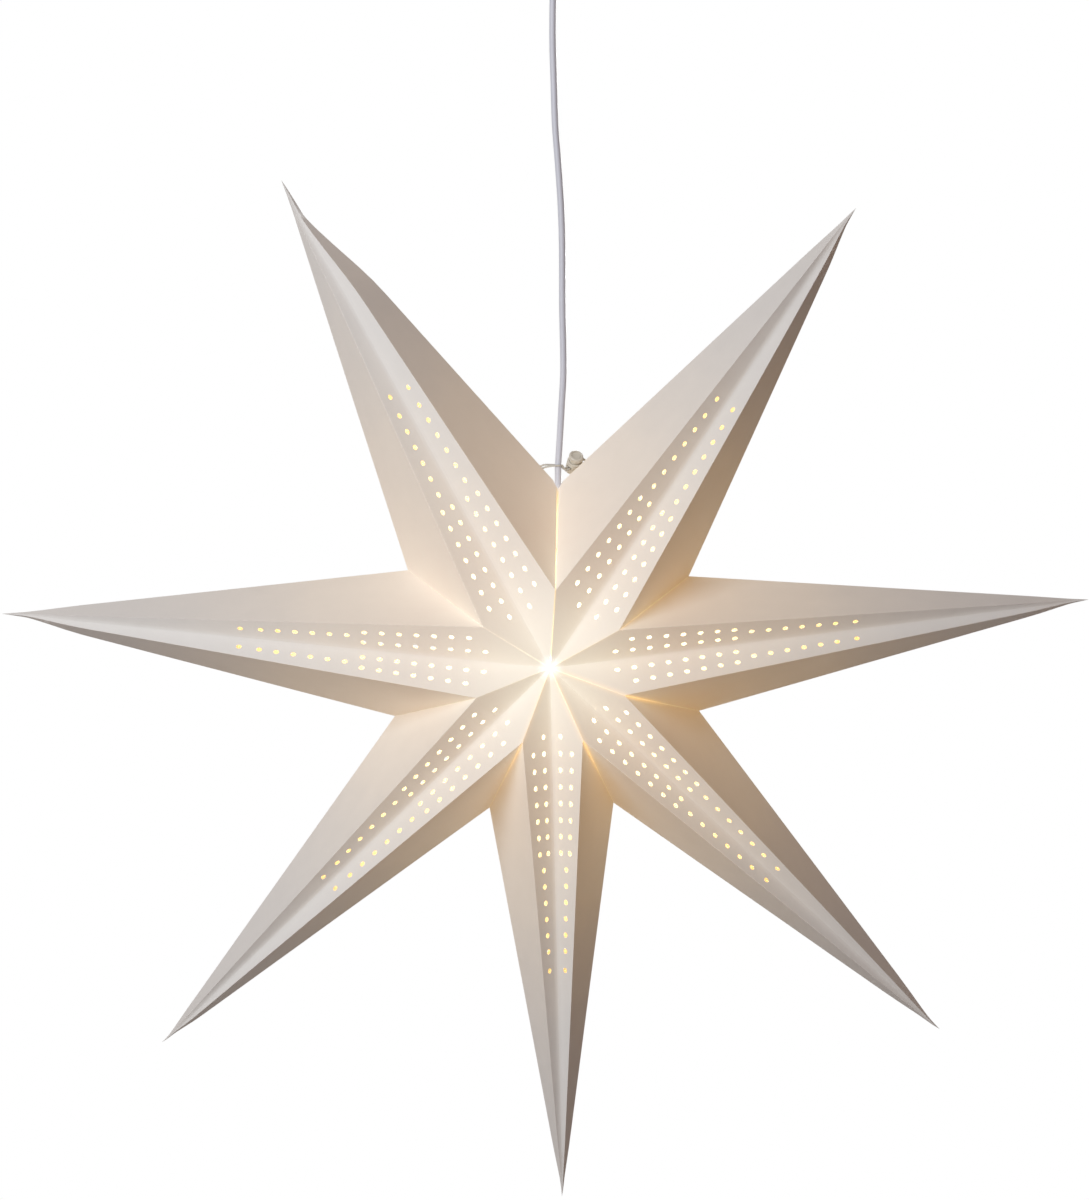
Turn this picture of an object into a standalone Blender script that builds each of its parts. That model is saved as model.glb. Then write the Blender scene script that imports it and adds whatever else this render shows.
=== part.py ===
"""A folded paper star lantern with seven hollow points, hanging on its lamp cord.

Metres, +Z up. The origin is the middle of the ceiling bracket's top face. The front is -Y.
The star hangs below on a round cord with a small screw lamp holder and a globe bulb inside.
"""

import math

import bmesh
import bpy
from mathutils import Matrix, Vector

# General fits
FIT_GAP = 0.0003
MERGE_DISTANCE = 0.000001
CUT_OVERRUN = 0.002
ROUND_STEPS = 32
SMALL_STEPS = 20
SHARP_ANGLE = math.radians(35)

# Star
STAR_DROP = 0.683
STAR_SHIFT = -0.0057
STAR_RADIUS = 0.501
NOTCH_RADIUS = 0.151
TOP_NOTCH_RADIUS = 0.163
RIDGE_RADIUS = 0.0708
RIDGE_DEPTH = 0.102
CENTRE_DEPTH = 0.095
PAPER_THICKNESS = 0.0003
FLAP_WIDTH = 0.012
SEAM_SLIT = 0.0012
SEAM_CLEARANCE = 0.0016
TIP_ANGLES = (331.2, 34.5, 83.9, 133.6, 178.3, 224.8, 274.7)
PAGE_ANGLES = (3.7, 60.0, 109.3, 155.5, 200.6, 249.3, 302.2)

# Cord
CORD_DIAMETER = 0.006
CORD_RADIUS = CORD_DIAMETER / 2
CORD_STEP = 0.015
CORD_ROUTE = (
    (-0.0002, 0.0, -0.1201),
    (0.0009, 0.0, -0.1571),
    (0.0021, 0.0, -0.1941),
    (0.0049, 0.0, -0.2311),
    (0.0074, 0.0, -0.2681),
    (0.0086, 0.0, -0.3051),
    (0.0088, 0.0, -0.3606),
    (0.0098, 0.0, -0.4161),
    (0.0081, 0.0, -0.4531),
    (0.0060, 0.0, -0.4901),
    (0.0050, 0.0, -0.5060),
    (0.0049, 0.0, -0.5197),
)
CORE_RADIUS = 0.001
CORE_SPACING = 0.0023
CORE_STEP = 0.003

# Ceiling fitting
BRACKET_WIDTH = 0.020
BRACKET_THICKNESS = 0.0015
BRACKET_LEG = 0.016
FIXING_HOLE_RADIUS = 0.0022
FIXING_HOLE_SPACING = 0.034
CUP_RADIUS = 0.042
CUP_HEIGHT = 0.046
CUP_WALL = 0.0018
CUP_FILLET = 0.012
CEILING_CLEARANCE = 0.0005
SIDE_SCREW_DROP = 0.010
SIDE_SCREW_RADIUS = 0.0017
SIDE_SCREW_HEAD_RADIUS = 0.0035
SIDE_SCREW_HEAD_HEIGHT = 0.002
SIDE_SCREW_TAIL = 0.003
TERMINAL_LENGTH = 0.018
TERMINAL_WIDTH = 0.022
TERMINAL_HEIGHT = 0.012
TERMINAL_BEVEL = 0.001
TERMINAL_HOLE_SPACING = 0.010
TERMINAL_HOLE_RADIUS = 0.0016
TERMINAL_HOLE_DEPTH = 0.006
TERMINAL_SCREW_RADIUS = 0.0018
TERMINAL_SCREW_HEIGHT = 0.0012
BALL_RADIUS = 0.008
BALL_TOP = 0.0055
BALL_LIFT = 0.0062
SEAT_LOW_ANGLE = math.radians(-38)
SEAT_HIGH_ANGLE = math.radians(-8)
COLLAR_RADIUS = 0.0108
FLARE_WIDTH = 0.0010
GRIP_LENGTH = 0.027
GRIP_NECK_RADIUS = 0.0044
GRIP_MOUTH_RADIUS = 0.0039
GRIP_CHAMFER = 0.0005
STUB_LENGTH = 0.008

# Lamp holder
LAMP_X = 0.0049
HOLDER_RISE = 0.098
CAP_HEIGHT = 0.022
CAP_RADIUS = 0.0138
CAP_NOSE_RADIUS = 0.0058
CAP_WALL = 0.0016
CAP_HOLE_RADIUS = 0.0026
BODY_LENGTH = 0.036
BODY_TOP_RADIUS = 0.0138
BODY_SKIRT_RADIUS = 0.0145
BODY_WALL = 0.0024
CARRIER_HEIGHT = 0.008
CARRIER_BEVEL = 0.0006
CONTACT_RADIUS = 0.0022
CONTACT_HEIGHT = 0.0055
SHELL_INNER_RADIUS = 0.0072
SHELL_WALL = 0.0004
SHELL_LENGTH = 0.0150
SIDE_CONTACT_WIDTH = 0.004
SIDE_CONTACT_LENGTH = 0.006
SIDE_CONTACT_THICKNESS = 0.0008
POST_SPACING = 0.011
POST_RADIUS = 0.0022
POST_HEIGHT = 0.005

# Bulb
TIP_CONTACT_RADIUS = 0.0024
TIP_CONTACT_HEIGHT = 0.0014
INSULATOR_HEIGHT = 0.0030
BASE_RADIUS = 0.0068
BASE_WALL = 0.0004
BASE_LENGTH = 0.0145
NECK_RADIUS = 0.0078
NECK_LENGTH = 0.007
HOUSING_LENGTH = 0.015
GLOBE_RADIUS = 0.0225
GLOBE_NECK_RADIUS = 0.0132
GLOBE_WALL = 0.0010
GLOBE_RINGS = 12
STEM_RADIUS = 0.0030
STEM_HEIGHT = 0.010
FILAMENT_COUNT = 4
FILAMENT_RADIUS = 0.0007
FILAMENT_LENGTH = 0.022
FILAMENT_STEPS = 8

# Tie string and cord lock, on the back faces of the two top points
STRING_RADIUS = 0.0009
STRING_STEP = 0.0022
STRING_RISE = 0.0140
STRING_GAP = 0.0005
STRAND_SPACING = 0.0026
LOCK_RUN_SHARES = (-1.3, -0.95, 0, 0.95, 1.3)
FRONT_WRAP_ANGLES = (-108, -72, -36)
BACK_WRAP_ANGLES = (118, 72)
KNOT_RADIUS = 0.0021
LEFT_KNOT_ALONG = 0.017
LEFT_KNOT_DOWN = 0.013
RIGHT_KNOT_ALONG = 0.028
RIGHT_KNOT_DOWN = 0.040
EDGE_ALONG = 0.0145
EDGE_LIFT = 0.0045
LOCK_ALONG = 0.0173
LOCK_DOWN = 0.0066
LOCK_LEAN = math.radians(35)
SLOT_TURN = math.radians(10)
LOCK_RADIUS = 0.0072
BARREL_HEIGHT = 0.014
BARREL_FLOOR = 0.0012
BARREL_BEVEL = 0.0012
PLUNGER_RADIUS = 0.0054
PLUNGER_CLEARANCE = 0.0003
PLUNGER_TRAVEL = 0.0025
BUTTON_RADIUS = 0.0066
BUTTON_HEIGHT = 0.0042
BUTTON_RIM = 0.0014
BUTTON_DISH = 0.0008
SLOT_WIDTH = 0.0052
SLOT_HEIGHT = 0.0028
SLOT_FLOOR = 0.0012
SLOT_RISE = 0.0015
SPRING_WIRE_RADIUS = 0.0003
SPRING_RADIUS = 0.0030
SPRING_TURNS = 3
SPRING_POINTS_A_TURN = 10

# Derived places
STAR_CENTRE = Vector((STAR_SHIFT, 0, -STAR_DROP))
BALL_CENTRE = Vector((0, 0, BALL_LIFT - CUP_HEIGHT))
GRIP_MOUTH = BALL_CENTRE - Vector((0, 0, GRIP_LENGTH))
HOLDER_TOP = Vector((LAMP_X, 0, HOLDER_RISE - STAR_DROP))
CAP_BOTTOM = HOLDER_TOP.z - CAP_HEIGHT
BODY_TOP = CAP_BOTTOM - FIT_GAP
BODY_BOTTOM = BODY_TOP - BODY_LENGTH
CARRIER_TOP = BODY_TOP - CARRIER_BEVEL
CARRIER_BOTTOM = CARRIER_TOP - CARRIER_HEIGHT
CARRIER_RADIUS = BODY_TOP_RADIUS - BODY_WALL - FIT_GAP
CONTACT_TOP = CARRIER_BOTTOM - FIT_GAP
CONTACT_BOTTOM = CONTACT_TOP - CONTACT_HEIGHT
BULB_TIP = CONTACT_BOTTOM - FIT_GAP
INSULATOR_TOP = BULB_TIP - TIP_CONTACT_HEIGHT
BASE_TOP = INSULATOR_TOP - INSULATOR_HEIGHT
BASE_BOTTOM = BASE_TOP - BASE_LENGTH
HOUSING_BOTTOM = BASE_BOTTOM - NECK_LENGTH - HOUSING_LENGTH
GLOBE_OPENING = math.sqrt(GLOBE_RADIUS**2 - GLOBE_NECK_RADIUS**2)
GLOBE_CENTRE = HOUSING_BOTTOM - FIT_GAP - GLOBE_OPENING


def material(name, colour, roughness, metallic=0.0):
    """A plain finish for one kind of piece."""
    finish = bpy.data.materials.new(name)
    finish.use_nodes = True
    shader = finish.node_tree.nodes["Principled BSDF"]
    shader.inputs["Base Color"].default_value = (*colour, 1)
    shader.inputs["Roughness"].default_value = roughness
    shader.inputs["Metallic"].default_value = metallic
    finish.diffuse_color = (*colour, 1)
    return finish


def joint_empty(name, place, parent=None):
    """An empty that marks the axis that a moving group turns or slides on."""
    pivot = bpy.data.objects.new(name, None)
    bpy.context.collection.objects.link(pivot)
    pivot["place"] = place
    hang(pivot, place, parent)
    return pivot


def hang(piece, place, parent):
    """Set an object's world place, and hang it on its parent empty."""
    held_at = Vector(parent["place"]) if parent else Vector()
    piece.location = Vector(place) - held_at
    piece.parent = parent


def finished(name, shape, finish, origin, parent, smooth=False):
    """Turn a bmesh in world places into a named object whose origin is the one given."""
    bmesh.ops.translate(shape, verts=shape.verts, vec=-Vector(origin))
    mesh = bpy.data.meshes.new(name)
    shape.to_mesh(mesh)
    shape.free()
    mesh.materials.append(finish)
    if smooth:
        mesh.shade_smooth()
        mesh.set_sharp_from_angle(angle=SHARP_ANGLE)
    piece = bpy.data.objects.new(name, mesh)
    bpy.context.collection.objects.link(piece)
    hang(piece, origin, parent)
    return piece


def spun(profile, place, steps=ROUND_STEPS):
    """Spin a profile of (radius, height) corners, listed down its outer side, round a vertical axis."""
    shape = bmesh.new()
    corners = [shape.verts.new((radius, 0, height)) for radius, height in profile]
    pairs = [pair for pair in zip(corners, corners[1:]) if pair[0].co.x or pair[1].co.x]
    edges = [shape.edges.new(pair) for pair in pairs]
    if profile[0][0] > 0 and profile[-1][0] > 0:
        edges.append(shape.edges.new((corners[-1], corners[0])))
    bmesh.ops.spin(
        shape, geom=corners + edges, cent=(0, 0, 0), axis=(0, 0, 1), angle=math.tau, steps=steps, use_merge=True
    )
    bmesh.ops.remove_doubles(shape, verts=shape.verts, dist=MERGE_DISTANCE)
    bmesh.ops.recalc_face_normals(shape, faces=shape.faces)
    bmesh.ops.translate(shape, verts=shape.verts, vec=place)
    return shape


def arc(centre, radius, start, end, count):
    """Profile corners along an arc, as (radius, height) pairs."""
    corners = []
    for step in range(count + 1):
        turn = start + (end - start) * step / count
        corners.append((centre[0] + radius * math.cos(turn), centre[1] + radius * math.sin(turn)))
    return corners


def block(size, place, bevel=0.0):
    """A box with its middle at a place, and small bevelled edges if asked for."""
    shape = bmesh.new()
    bmesh.ops.create_cube(shape, size=1)
    bmesh.ops.scale(shape, verts=shape.verts, vec=size)
    if bevel:
        bmesh.ops.bevel(
            shape, geom=shape.edges, offset=bevel, segments=1, profile=0.5, affect="EDGES", material=-1
        )
    bmesh.ops.translate(shape, verts=shape.verts, vec=place)
    return shape


def repeated(shape, turns):
    """Copy a bmesh's solid in place, once for each matrix given."""
    first = list(shape.verts) + list(shape.edges) + list(shape.faces)
    for turn in turns:
        copied = bmesh.ops.duplicate(shape, geom=first)["geom"]
        corners = [item for item in copied if isinstance(item, bmesh.types.BMVert)]
        bmesh.ops.transform(shape, matrix=turn, verts=corners)
    return shape


def finished_pair(name, endings, make, turns, finish, origin, parent):
    """Several like pieces, each its own object, from one shape and a matrix for each."""
    for ending, turn in zip(endings, turns):
        shape = make()
        bmesh.ops.transform(shape, matrix=turn, verts=shape.verts)
        finished(f"{name}_{ending}", shape, finish, origin, parent, smooth=True)


def cutter(name, shape, parent=None):
    """A hidden solid that only cuts others."""
    tool = finished(name, shape, PAINT["cutter"], Vector(), parent)
    tool.hide_render = True
    tool.display_type = "WIRE"
    return tool


def cut(piece, tool):
    """Take a cutter's solid out of a piece."""
    change = piece.modifiers.new("cut_" + tool.name, "BOOLEAN")
    change.operation = "DIFFERENCE"
    change.solver = "EXACT"
    change.object = tool


def smooth_route(route, step):
    """Points at a steady step on a smooth curve through a route's own points."""
    route = [Vector(point) for point in route]
    padded = [route[0] * 2 - route[1]] + route + [route[-1] * 2 - route[-2]]
    points = [route[0]]
    for before, start, end, after in zip(padded, padded[1:], padded[2:], padded[3:]):
        count = max(1, round((end - start).length / step))
        for number in range(1, count + 1):
            share = number / count
            points.append(
                (
                    start * 2
                    + (end - before) * share
                    + (before * 2 - start * 5 + end * 4 - after) * share**2
                    + (start * 3 - end * 3 + after - before) * share**3
                )
                / 2
            )
    return points


def tube(name, points, radius, finish, origin, parent, detail=2):
    """A round tube with closed ends along a list of world points."""
    line = bpy.data.curves.new(name, "CURVE")
    line.dimensions = "3D"
    line.bevel_depth = radius
    line.bevel_resolution = detail
    line.use_fill_caps = True
    spline = line.splines.new("POLY")
    spline.points.add(len(points) - 1)
    for corner, point in zip(spline.points, points):
        corner.co = (*(Vector(point) - Vector(origin)), 1)
    line.materials.append(finish)
    piece = bpy.data.objects.new(name, line)
    bpy.context.collection.objects.link(piece)
    hang(piece, origin, parent)
    return piece


def outward(angle):
    """Unit vector in the star's plane, turned clockwise from straight up by an angle in degrees."""
    turn = math.radians(angle)
    return Vector((math.sin(turn), 0, math.cos(turn)))


def clockwise(angle):
    """Unit vector square to a page of the star, pointing clockwise."""
    turn = math.radians(angle)
    return Vector((math.cos(turn), 0, -math.sin(turn)))


def page_gaps(page):
    """Half the gap between the two points glued at a page: at its ridge and at its notch."""
    if page == 0:
        return SEAM_SLIT / 2, CORD_RADIUS + SEAM_CLEARANCE
    return FIT_GAP / 2, FIT_GAP / 2


def page_notch(page):
    """How far a page reaches out from the star's centre."""
    return TOP_NOTCH_RADIUS if page == 0 else NOTCH_RADIUS


def crossing(start, end, other_start, other_end):
    """Where two lines in a page meet, each given by two (reach, depth) places."""
    run = (end[0] - start[0], end[1] - start[1])
    other = (other_end[0] - other_start[0], other_end[1] - other_start[1])
    away = (other_start[0] - start[0], other_start[1] - start[1])
    share = (away[0] * other[1] - away[1] * other[0]) / (run[0] * other[1] - run[1] * other[0])
    return start[0] + run[0] * share, start[1] + run[1] * share


def inset(start, end):
    """An edge of a page moved into the page by the glue flap's width."""
    run = Vector((end[0] - start[0], end[1] - start[1])).normalized()
    shift = (-run.y * FLAP_WIDTH, run.x * FLAP_WIDTH)
    return (start[0] + shift[0], start[1] + shift[1]), (end[0] + shift[0], end[1] + shift[1])


def centre_corner(left, right):
    """Where a point's two offset pages meet beside the star's fold axis."""
    left_gap = page_gaps(left)[0]
    right_gap = page_gaps(right)[0]
    a = clockwise(PAGE_ANGLES[left])
    b = -clockwise(PAGE_ANGLES[right])
    area = a.x * b.z - a.z * b.x
    return Vector(((left_gap * b.z - a.z * right_gap) / area, 0, (a.x * right_gap - b.x * left_gap) / area))


def page_side(page, side):
    """One side of a page: its ridge, its notch and its glue flap's inner rim, for the front half."""
    ridge_gap, notch_gap = page_gaps(page)
    reach = page_notch(page)
    out = outward(PAGE_ANGLES[page])
    shift = clockwise(PAGE_ANGLES[page]) * side
    centre = (0, -CENTRE_DEPTH)
    ridge = (RIDGE_RADIUS, -RIDGE_DEPTH)
    notch = (reach, 0)
    upper = inset(centre, ridge)
    lower = inset(ridge, notch)
    rim_ridge = crossing(*upper, *lower)
    rim_notch = crossing(*lower, (0, 0), (reach, 0))
    rim_start = crossing(*upper, (FLAP_WIDTH, 0), (FLAP_WIDTH, -RIDGE_DEPTH))

    def placed(spot, gap):
        return STAR_CENTRE + out * spot[0] + Vector((0, spot[1], 0)) + shift * gap

    return {
        "ridge": placed(ridge, ridge_gap),
        "notch": placed(notch, notch_gap),
        "rim_start": placed(rim_start, ridge_gap),
        "rim_ridge": placed(rim_ridge, ridge_gap),
        "rim_notch": placed(rim_notch, notch_gap),
    }


def mirrored(place):
    """The same place on the star's back."""
    return Vector((place.x, -place.y, place.z))


def star_point(number, parent):
    """One hollow point: four long gusset faces, four side faces and the glue flaps of one folded sheet."""
    left_page = (number - 1) % len(PAGE_ANGLES)
    sides = {"left": page_side(left_page, 1), "right": page_side(number, -1)}
    centre = STAR_CENTRE + centre_corner(left_page, number) - Vector((0, CENTRE_DEPTH, 0))
    tip = STAR_CENTRE + outward(TIP_ANGLES[number]) * STAR_RADIUS
    shape = bmesh.new()
    corner = {"tip": shape.verts.new(tip)}
    corner["centre", "front"] = shape.verts.new(centre)
    corner["centre", "back"] = shape.verts.new(mirrored(centre))
    for side, places in sides.items():
        for spot in ("ridge", "rim_start", "rim_ridge"):
            corner[spot, side, "front"] = shape.verts.new(places[spot])
            corner[spot, side, "back"] = shape.verts.new(mirrored(places[spot]))
        for spot in ("notch", "rim_notch"):
            corner[spot, side] = shape.verts.new(places[spot])
    for side in sides:
        for half in ("front", "back"):
            centre_spot = corner["centre", half]
            ridge = corner["ridge", side, half]
            rim_ridge = corner["rim_ridge", side, half]
            notch = corner["notch", side]
            shape.faces.new((corner["tip"], centre_spot, ridge))
            shape.faces.new((corner["tip"], ridge, notch))
            shape.faces.new((centre_spot, corner["rim_start", side, half], rim_ridge, ridge))
            shape.faces.new((ridge, rim_ridge, corner["rim_notch", side], notch))
    bmesh.ops.recalc_face_normals(shape, faces=shape.faces)
    front = next(face for face in shape.faces if corner["centre", "front"] in face.verts)
    if front.normal.y > 0:
        bmesh.ops.reverse_faces(shape, faces=shape.faces)
    point = finished(f"star_point_{number + 1}", shape, PAINT["paper"], STAR_CENTRE, parent)
    wall = point.modifiers.new("paper_wall", "SOLIDIFY")
    wall.thickness = PAPER_THICKNESS
    wall.offset = -1
    wall.use_even_offset = True
    return point


def ceiling_bracket():
    """A steel strap with two legs turned down, screwed to the ceiling through two holes."""
    half = math.sqrt((CUP_RADIUS - CUP_WALL - FIT_GAP) ** 2 - (BRACKET_WIDTH / 2) ** 2)
    inner = half - BRACKET_THICKNESS
    outline = (
        (-half, 0),
        (half, 0),
        (half, -BRACKET_LEG),
        (inner, -BRACKET_LEG),
        (inner, -BRACKET_THICKNESS),
        (-inner, -BRACKET_THICKNESS),
        (-inner, -BRACKET_LEG),
        (-half, -BRACKET_LEG),
    )
    shape = bmesh.new()
    face = shape.faces.new([shape.verts.new((x, -BRACKET_WIDTH / 2, z)) for x, z in outline])
    pushed = bmesh.ops.extrude_face_region(shape, geom=[face])["geom"]
    corners = [item for item in pushed if isinstance(item, bmesh.types.BMVert)]
    bmesh.ops.translate(shape, verts=corners, vec=(0, BRACKET_WIDTH, 0))
    bmesh.ops.recalc_face_normals(shape, faces=shape.faces)
    bracket = finished("ceiling_bracket", shape, PAINT["steel"], Vector(), None)
    depth = BRACKET_THICKNESS + CUT_OVERRUN * 2
    drill = spun(rod(FIXING_HOLE_RADIUS, CUT_OVERRUN, depth), (FIXING_HOLE_SPACING / 2, 0, 0), SMALL_STEPS)
    repeated(drill, [Matrix.Translation((-FIXING_HOLE_SPACING, 0, 0))])
    cut(bracket, cutter("fixing_hole_cutter", drill))
    return bracket


def rod(radius, top, length):
    """The profile of a plain round bar from its top height down."""
    return [(0, top), (radius, top), (radius, top - length), (0, top - length)]


def ceiling_cup():
    """The moulded cup over the wiring, with a round seat in its floor that carries the cord grip."""
    floor = -CUP_HEIGHT
    shoulder = floor + CUP_FILLET
    seat = BALL_RADIUS + FIT_GAP
    seat_arc = arc((0, BALL_CENTRE.z), seat, SEAT_LOW_ANGLE, SEAT_HIGH_ANGLE, 3)
    collar_top = seat_arc[-1][1]
    inner = CUP_RADIUS - CUP_WALL
    profile = [(CUP_RADIUS, -CEILING_CLEARANCE)]
    profile += arc((CUP_RADIUS - CUP_FILLET, shoulder), CUP_FILLET, 0, -math.pi / 2, 5)
    profile += [(seat_arc[0][0] + FLARE_WIDTH, floor)]
    profile += seat_arc
    profile += [(COLLAR_RADIUS, collar_top), (COLLAR_RADIUS, floor + CUP_WALL)]
    profile += arc((CUP_RADIUS - CUP_FILLET, shoulder), CUP_FILLET - CUP_WALL, -math.pi / 2, 0, 5)
    profile += [(inner, -CEILING_CLEARANCE)]
    return finished("ceiling_cup", spun(profile, Vector()), PAINT["cup"], Vector(), None, smooth=True)


def side_screws(bracket, cup):
    """Two screws that hold the cup on the bracket's legs, with their clearance holes."""
    turn = Matrix.Rotation(math.pi / 2, 4, "Y")
    height = Matrix.Translation((0, 0, -SIDE_SCREW_DROP))
    head_foot = CUP_RADIUS + FIT_GAP
    head_top = head_foot + SIDE_SCREW_HEAD_HEIGHT
    tail = CUP_RADIUS - CUP_WALL - BRACKET_THICKNESS - SIDE_SCREW_TAIL
    profile = [
        (0, head_top),
        (SIDE_SCREW_HEAD_RADIUS - BRACKET_THICKNESS / 2, head_top),
        (SIDE_SCREW_HEAD_RADIUS, head_foot + SIDE_SCREW_HEAD_HEIGHT / 2),
        (SIDE_SCREW_HEAD_RADIUS, head_foot),
        (SIDE_SCREW_RADIUS, head_foot),
        (SIDE_SCREW_RADIUS, tail),
        (0, tail),
    ]
    right = height @ turn
    left = Matrix.Rotation(math.pi, 4, "Z") @ right
    finished_pair(
        "cup_screw", (1, 2), lambda: spun(profile, Vector(), SMALL_STEPS), (right, left), PAINT["steel"], Vector(), None
    )
    drill = spun(
        rod(SIDE_SCREW_RADIUS + FIT_GAP, CUP_RADIUS + CUT_OVERRUN, (CUP_RADIUS + CUT_OVERRUN) * 2),
        Vector(),
        SMALL_STEPS,
    )
    bmesh.ops.transform(drill, matrix=right, verts=drill.verts)
    tool = cutter("side_hole_cutter", drill)
    cut(bracket, tool)
    cut(cup, tool)


def terminal_block():
    """The connector under the bracket: an insulating block, its two clamp screws and its wire holes."""
    top = -BRACKET_THICKNESS - FIT_GAP
    middle = Vector((0, 0, top - TERMINAL_HEIGHT / 2))
    size = (TERMINAL_LENGTH, TERMINAL_WIDTH, TERMINAL_HEIGHT)
    body = finished("terminal_block", block(size, middle, TERMINAL_BEVEL), PAINT["insulator"], Vector(), None)
    foot = top - TERMINAL_HEIGHT
    drill = spun(
        rod(TERMINAL_HOLE_RADIUS, foot + TERMINAL_HOLE_DEPTH, TERMINAL_HOLE_DEPTH + CUT_OVERRUN),
        (0, -TERMINAL_HOLE_SPACING / 2, 0),
        SMALL_STEPS,
    )
    repeated(drill, [Matrix.Translation((0, TERMINAL_HOLE_SPACING, 0))])
    cut(body, cutter("terminal_hole_cutter", drill))
    face = -TERMINAL_LENGTH / 2 - FIT_GAP
    lying = Matrix.Rotation(math.pi / 2, 4, "Y")
    finished_pair(
        "terminal_screw",
        (1, 2),
        lambda: spun(rod(TERMINAL_SCREW_RADIUS, 0, TERMINAL_SCREW_HEIGHT), Vector(), SMALL_STEPS),
        [
            Matrix.Translation((face, side * TERMINAL_HOLE_SPACING / 2, middle.z)) @ lying
            for side in (-1, 1)
        ],
        PAINT["brass"],
        Vector(),
        None,
    )
    return foot


def ceiling_wiring(terminal_foot):
    """The cord's end inside the cup and its two cores, which rise into the connector."""
    start = BALL_CENTRE.z + BALL_TOP + FIT_GAP
    end = start + STUB_LENGTH
    tube("cord_end", [(0, 0, start), (0, 0, end)], CORD_RADIUS, PAINT["cord"], Vector(), None)
    for name, side in (("wire_brown", -1), ("wire_blue", 1)):
        near = side * CORE_SPACING / 2
        far = side * TERMINAL_HOLE_SPACING / 2
        rise = terminal_foot - end
        route = (
            (0, near, end + FIT_GAP),
            (0, near, end + rise / 4),
            (0, far, terminal_foot),
            (0, far, terminal_foot + TERMINAL_HOLE_DEPTH / 2),
        )
        tube(name, smooth_route(route, CORE_STEP), CORE_RADIUS, PAINT[name], Vector(), None)


def cord_grip(parent):
    """The moulded grip on the cord: a ball that rests in the cup's seat and a tapered sleeve below it."""
    ball = arc((0, 0), BALL_RADIUS, math.asin(BALL_TOP / BALL_RADIUS), -math.acos(GRIP_NECK_RADIUS / BALL_RADIUS), 8)
    profile = [(0, BALL_TOP)] + ball
    profile += [
        (GRIP_MOUTH_RADIUS, GRIP_CHAMFER - GRIP_LENGTH),
        (GRIP_MOUTH_RADIUS - GRIP_CHAMFER, -GRIP_LENGTH),
        (0, -GRIP_LENGTH),
    ]
    return finished("cord_grip", spun(profile, BALL_CENTRE), PAINT["cup"], BALL_CENTRE, parent, smooth=True)


def cord(parent):
    """The free cord from the grip's mouth down through the star's top seam to the lamp holder."""
    start = GRIP_MOUTH - Vector((0, 0, FIT_GAP))
    end = HOLDER_TOP + Vector((0, 0, FIT_GAP))
    straight = Vector((0, 0, CORD_DIAMETER * 2))
    route = [start, start - straight, *CORD_ROUTE, end + straight, end]
    return tube("cord", smooth_route(route, CORD_STEP), CORD_RADIUS, PAINT["cord"], GRIP_MOUTH, parent)


def holder_cap(parent):
    """The domed top of the lamp holder, with the cores' hole in its nose."""
    top = HOLDER_TOP.z
    dome = CAP_RADIUS - CAP_NOSE_RADIUS
    profile = [(CAP_NOSE_RADIUS, top)]
    profile += arc((CAP_NOSE_RADIUS, top - dome), dome, math.pi / 2, 0, 5)[1:]
    profile += [(CAP_RADIUS, CAP_BOTTOM), (CAP_RADIUS - CAP_WALL, CAP_BOTTOM)]
    profile += arc((CAP_NOSE_RADIUS, top - dome), dome - CAP_WALL, 0, math.pi / 2, 5)[:-1]
    profile += [(CAP_NOSE_RADIUS - CAP_WALL, top - CAP_WALL), (CAP_HOLE_RADIUS, top - CAP_WALL), (CAP_HOLE_RADIUS, top)]
    axis = Vector((LAMP_X, 0, 0))
    return finished("holder_cap", spun(profile, axis), PAINT["holder"], HOLDER_TOP, parent, smooth=True)


def holder_body(parent):
    """The lamp holder's lower sleeve, which screws to the cap and hides the bulb's metal base."""
    inner = BODY_TOP_RADIUS - BODY_WALL
    edge = BODY_WALL / 3
    profile = [
        (BODY_TOP_RADIUS, BODY_TOP),
        (BODY_SKIRT_RADIUS, BODY_BOTTOM + edge),
        (BODY_SKIRT_RADIUS - edge, BODY_BOTTOM),
        (inner + edge, BODY_BOTTOM),
        (inner, BODY_BOTTOM + edge),
        (inner, BODY_TOP),
    ]
    axis = Vector((LAMP_X, 0, 0))
    return finished("holder_body", spun(profile, axis), PAINT["holder"], HOLDER_TOP, parent, smooth=True)


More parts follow.
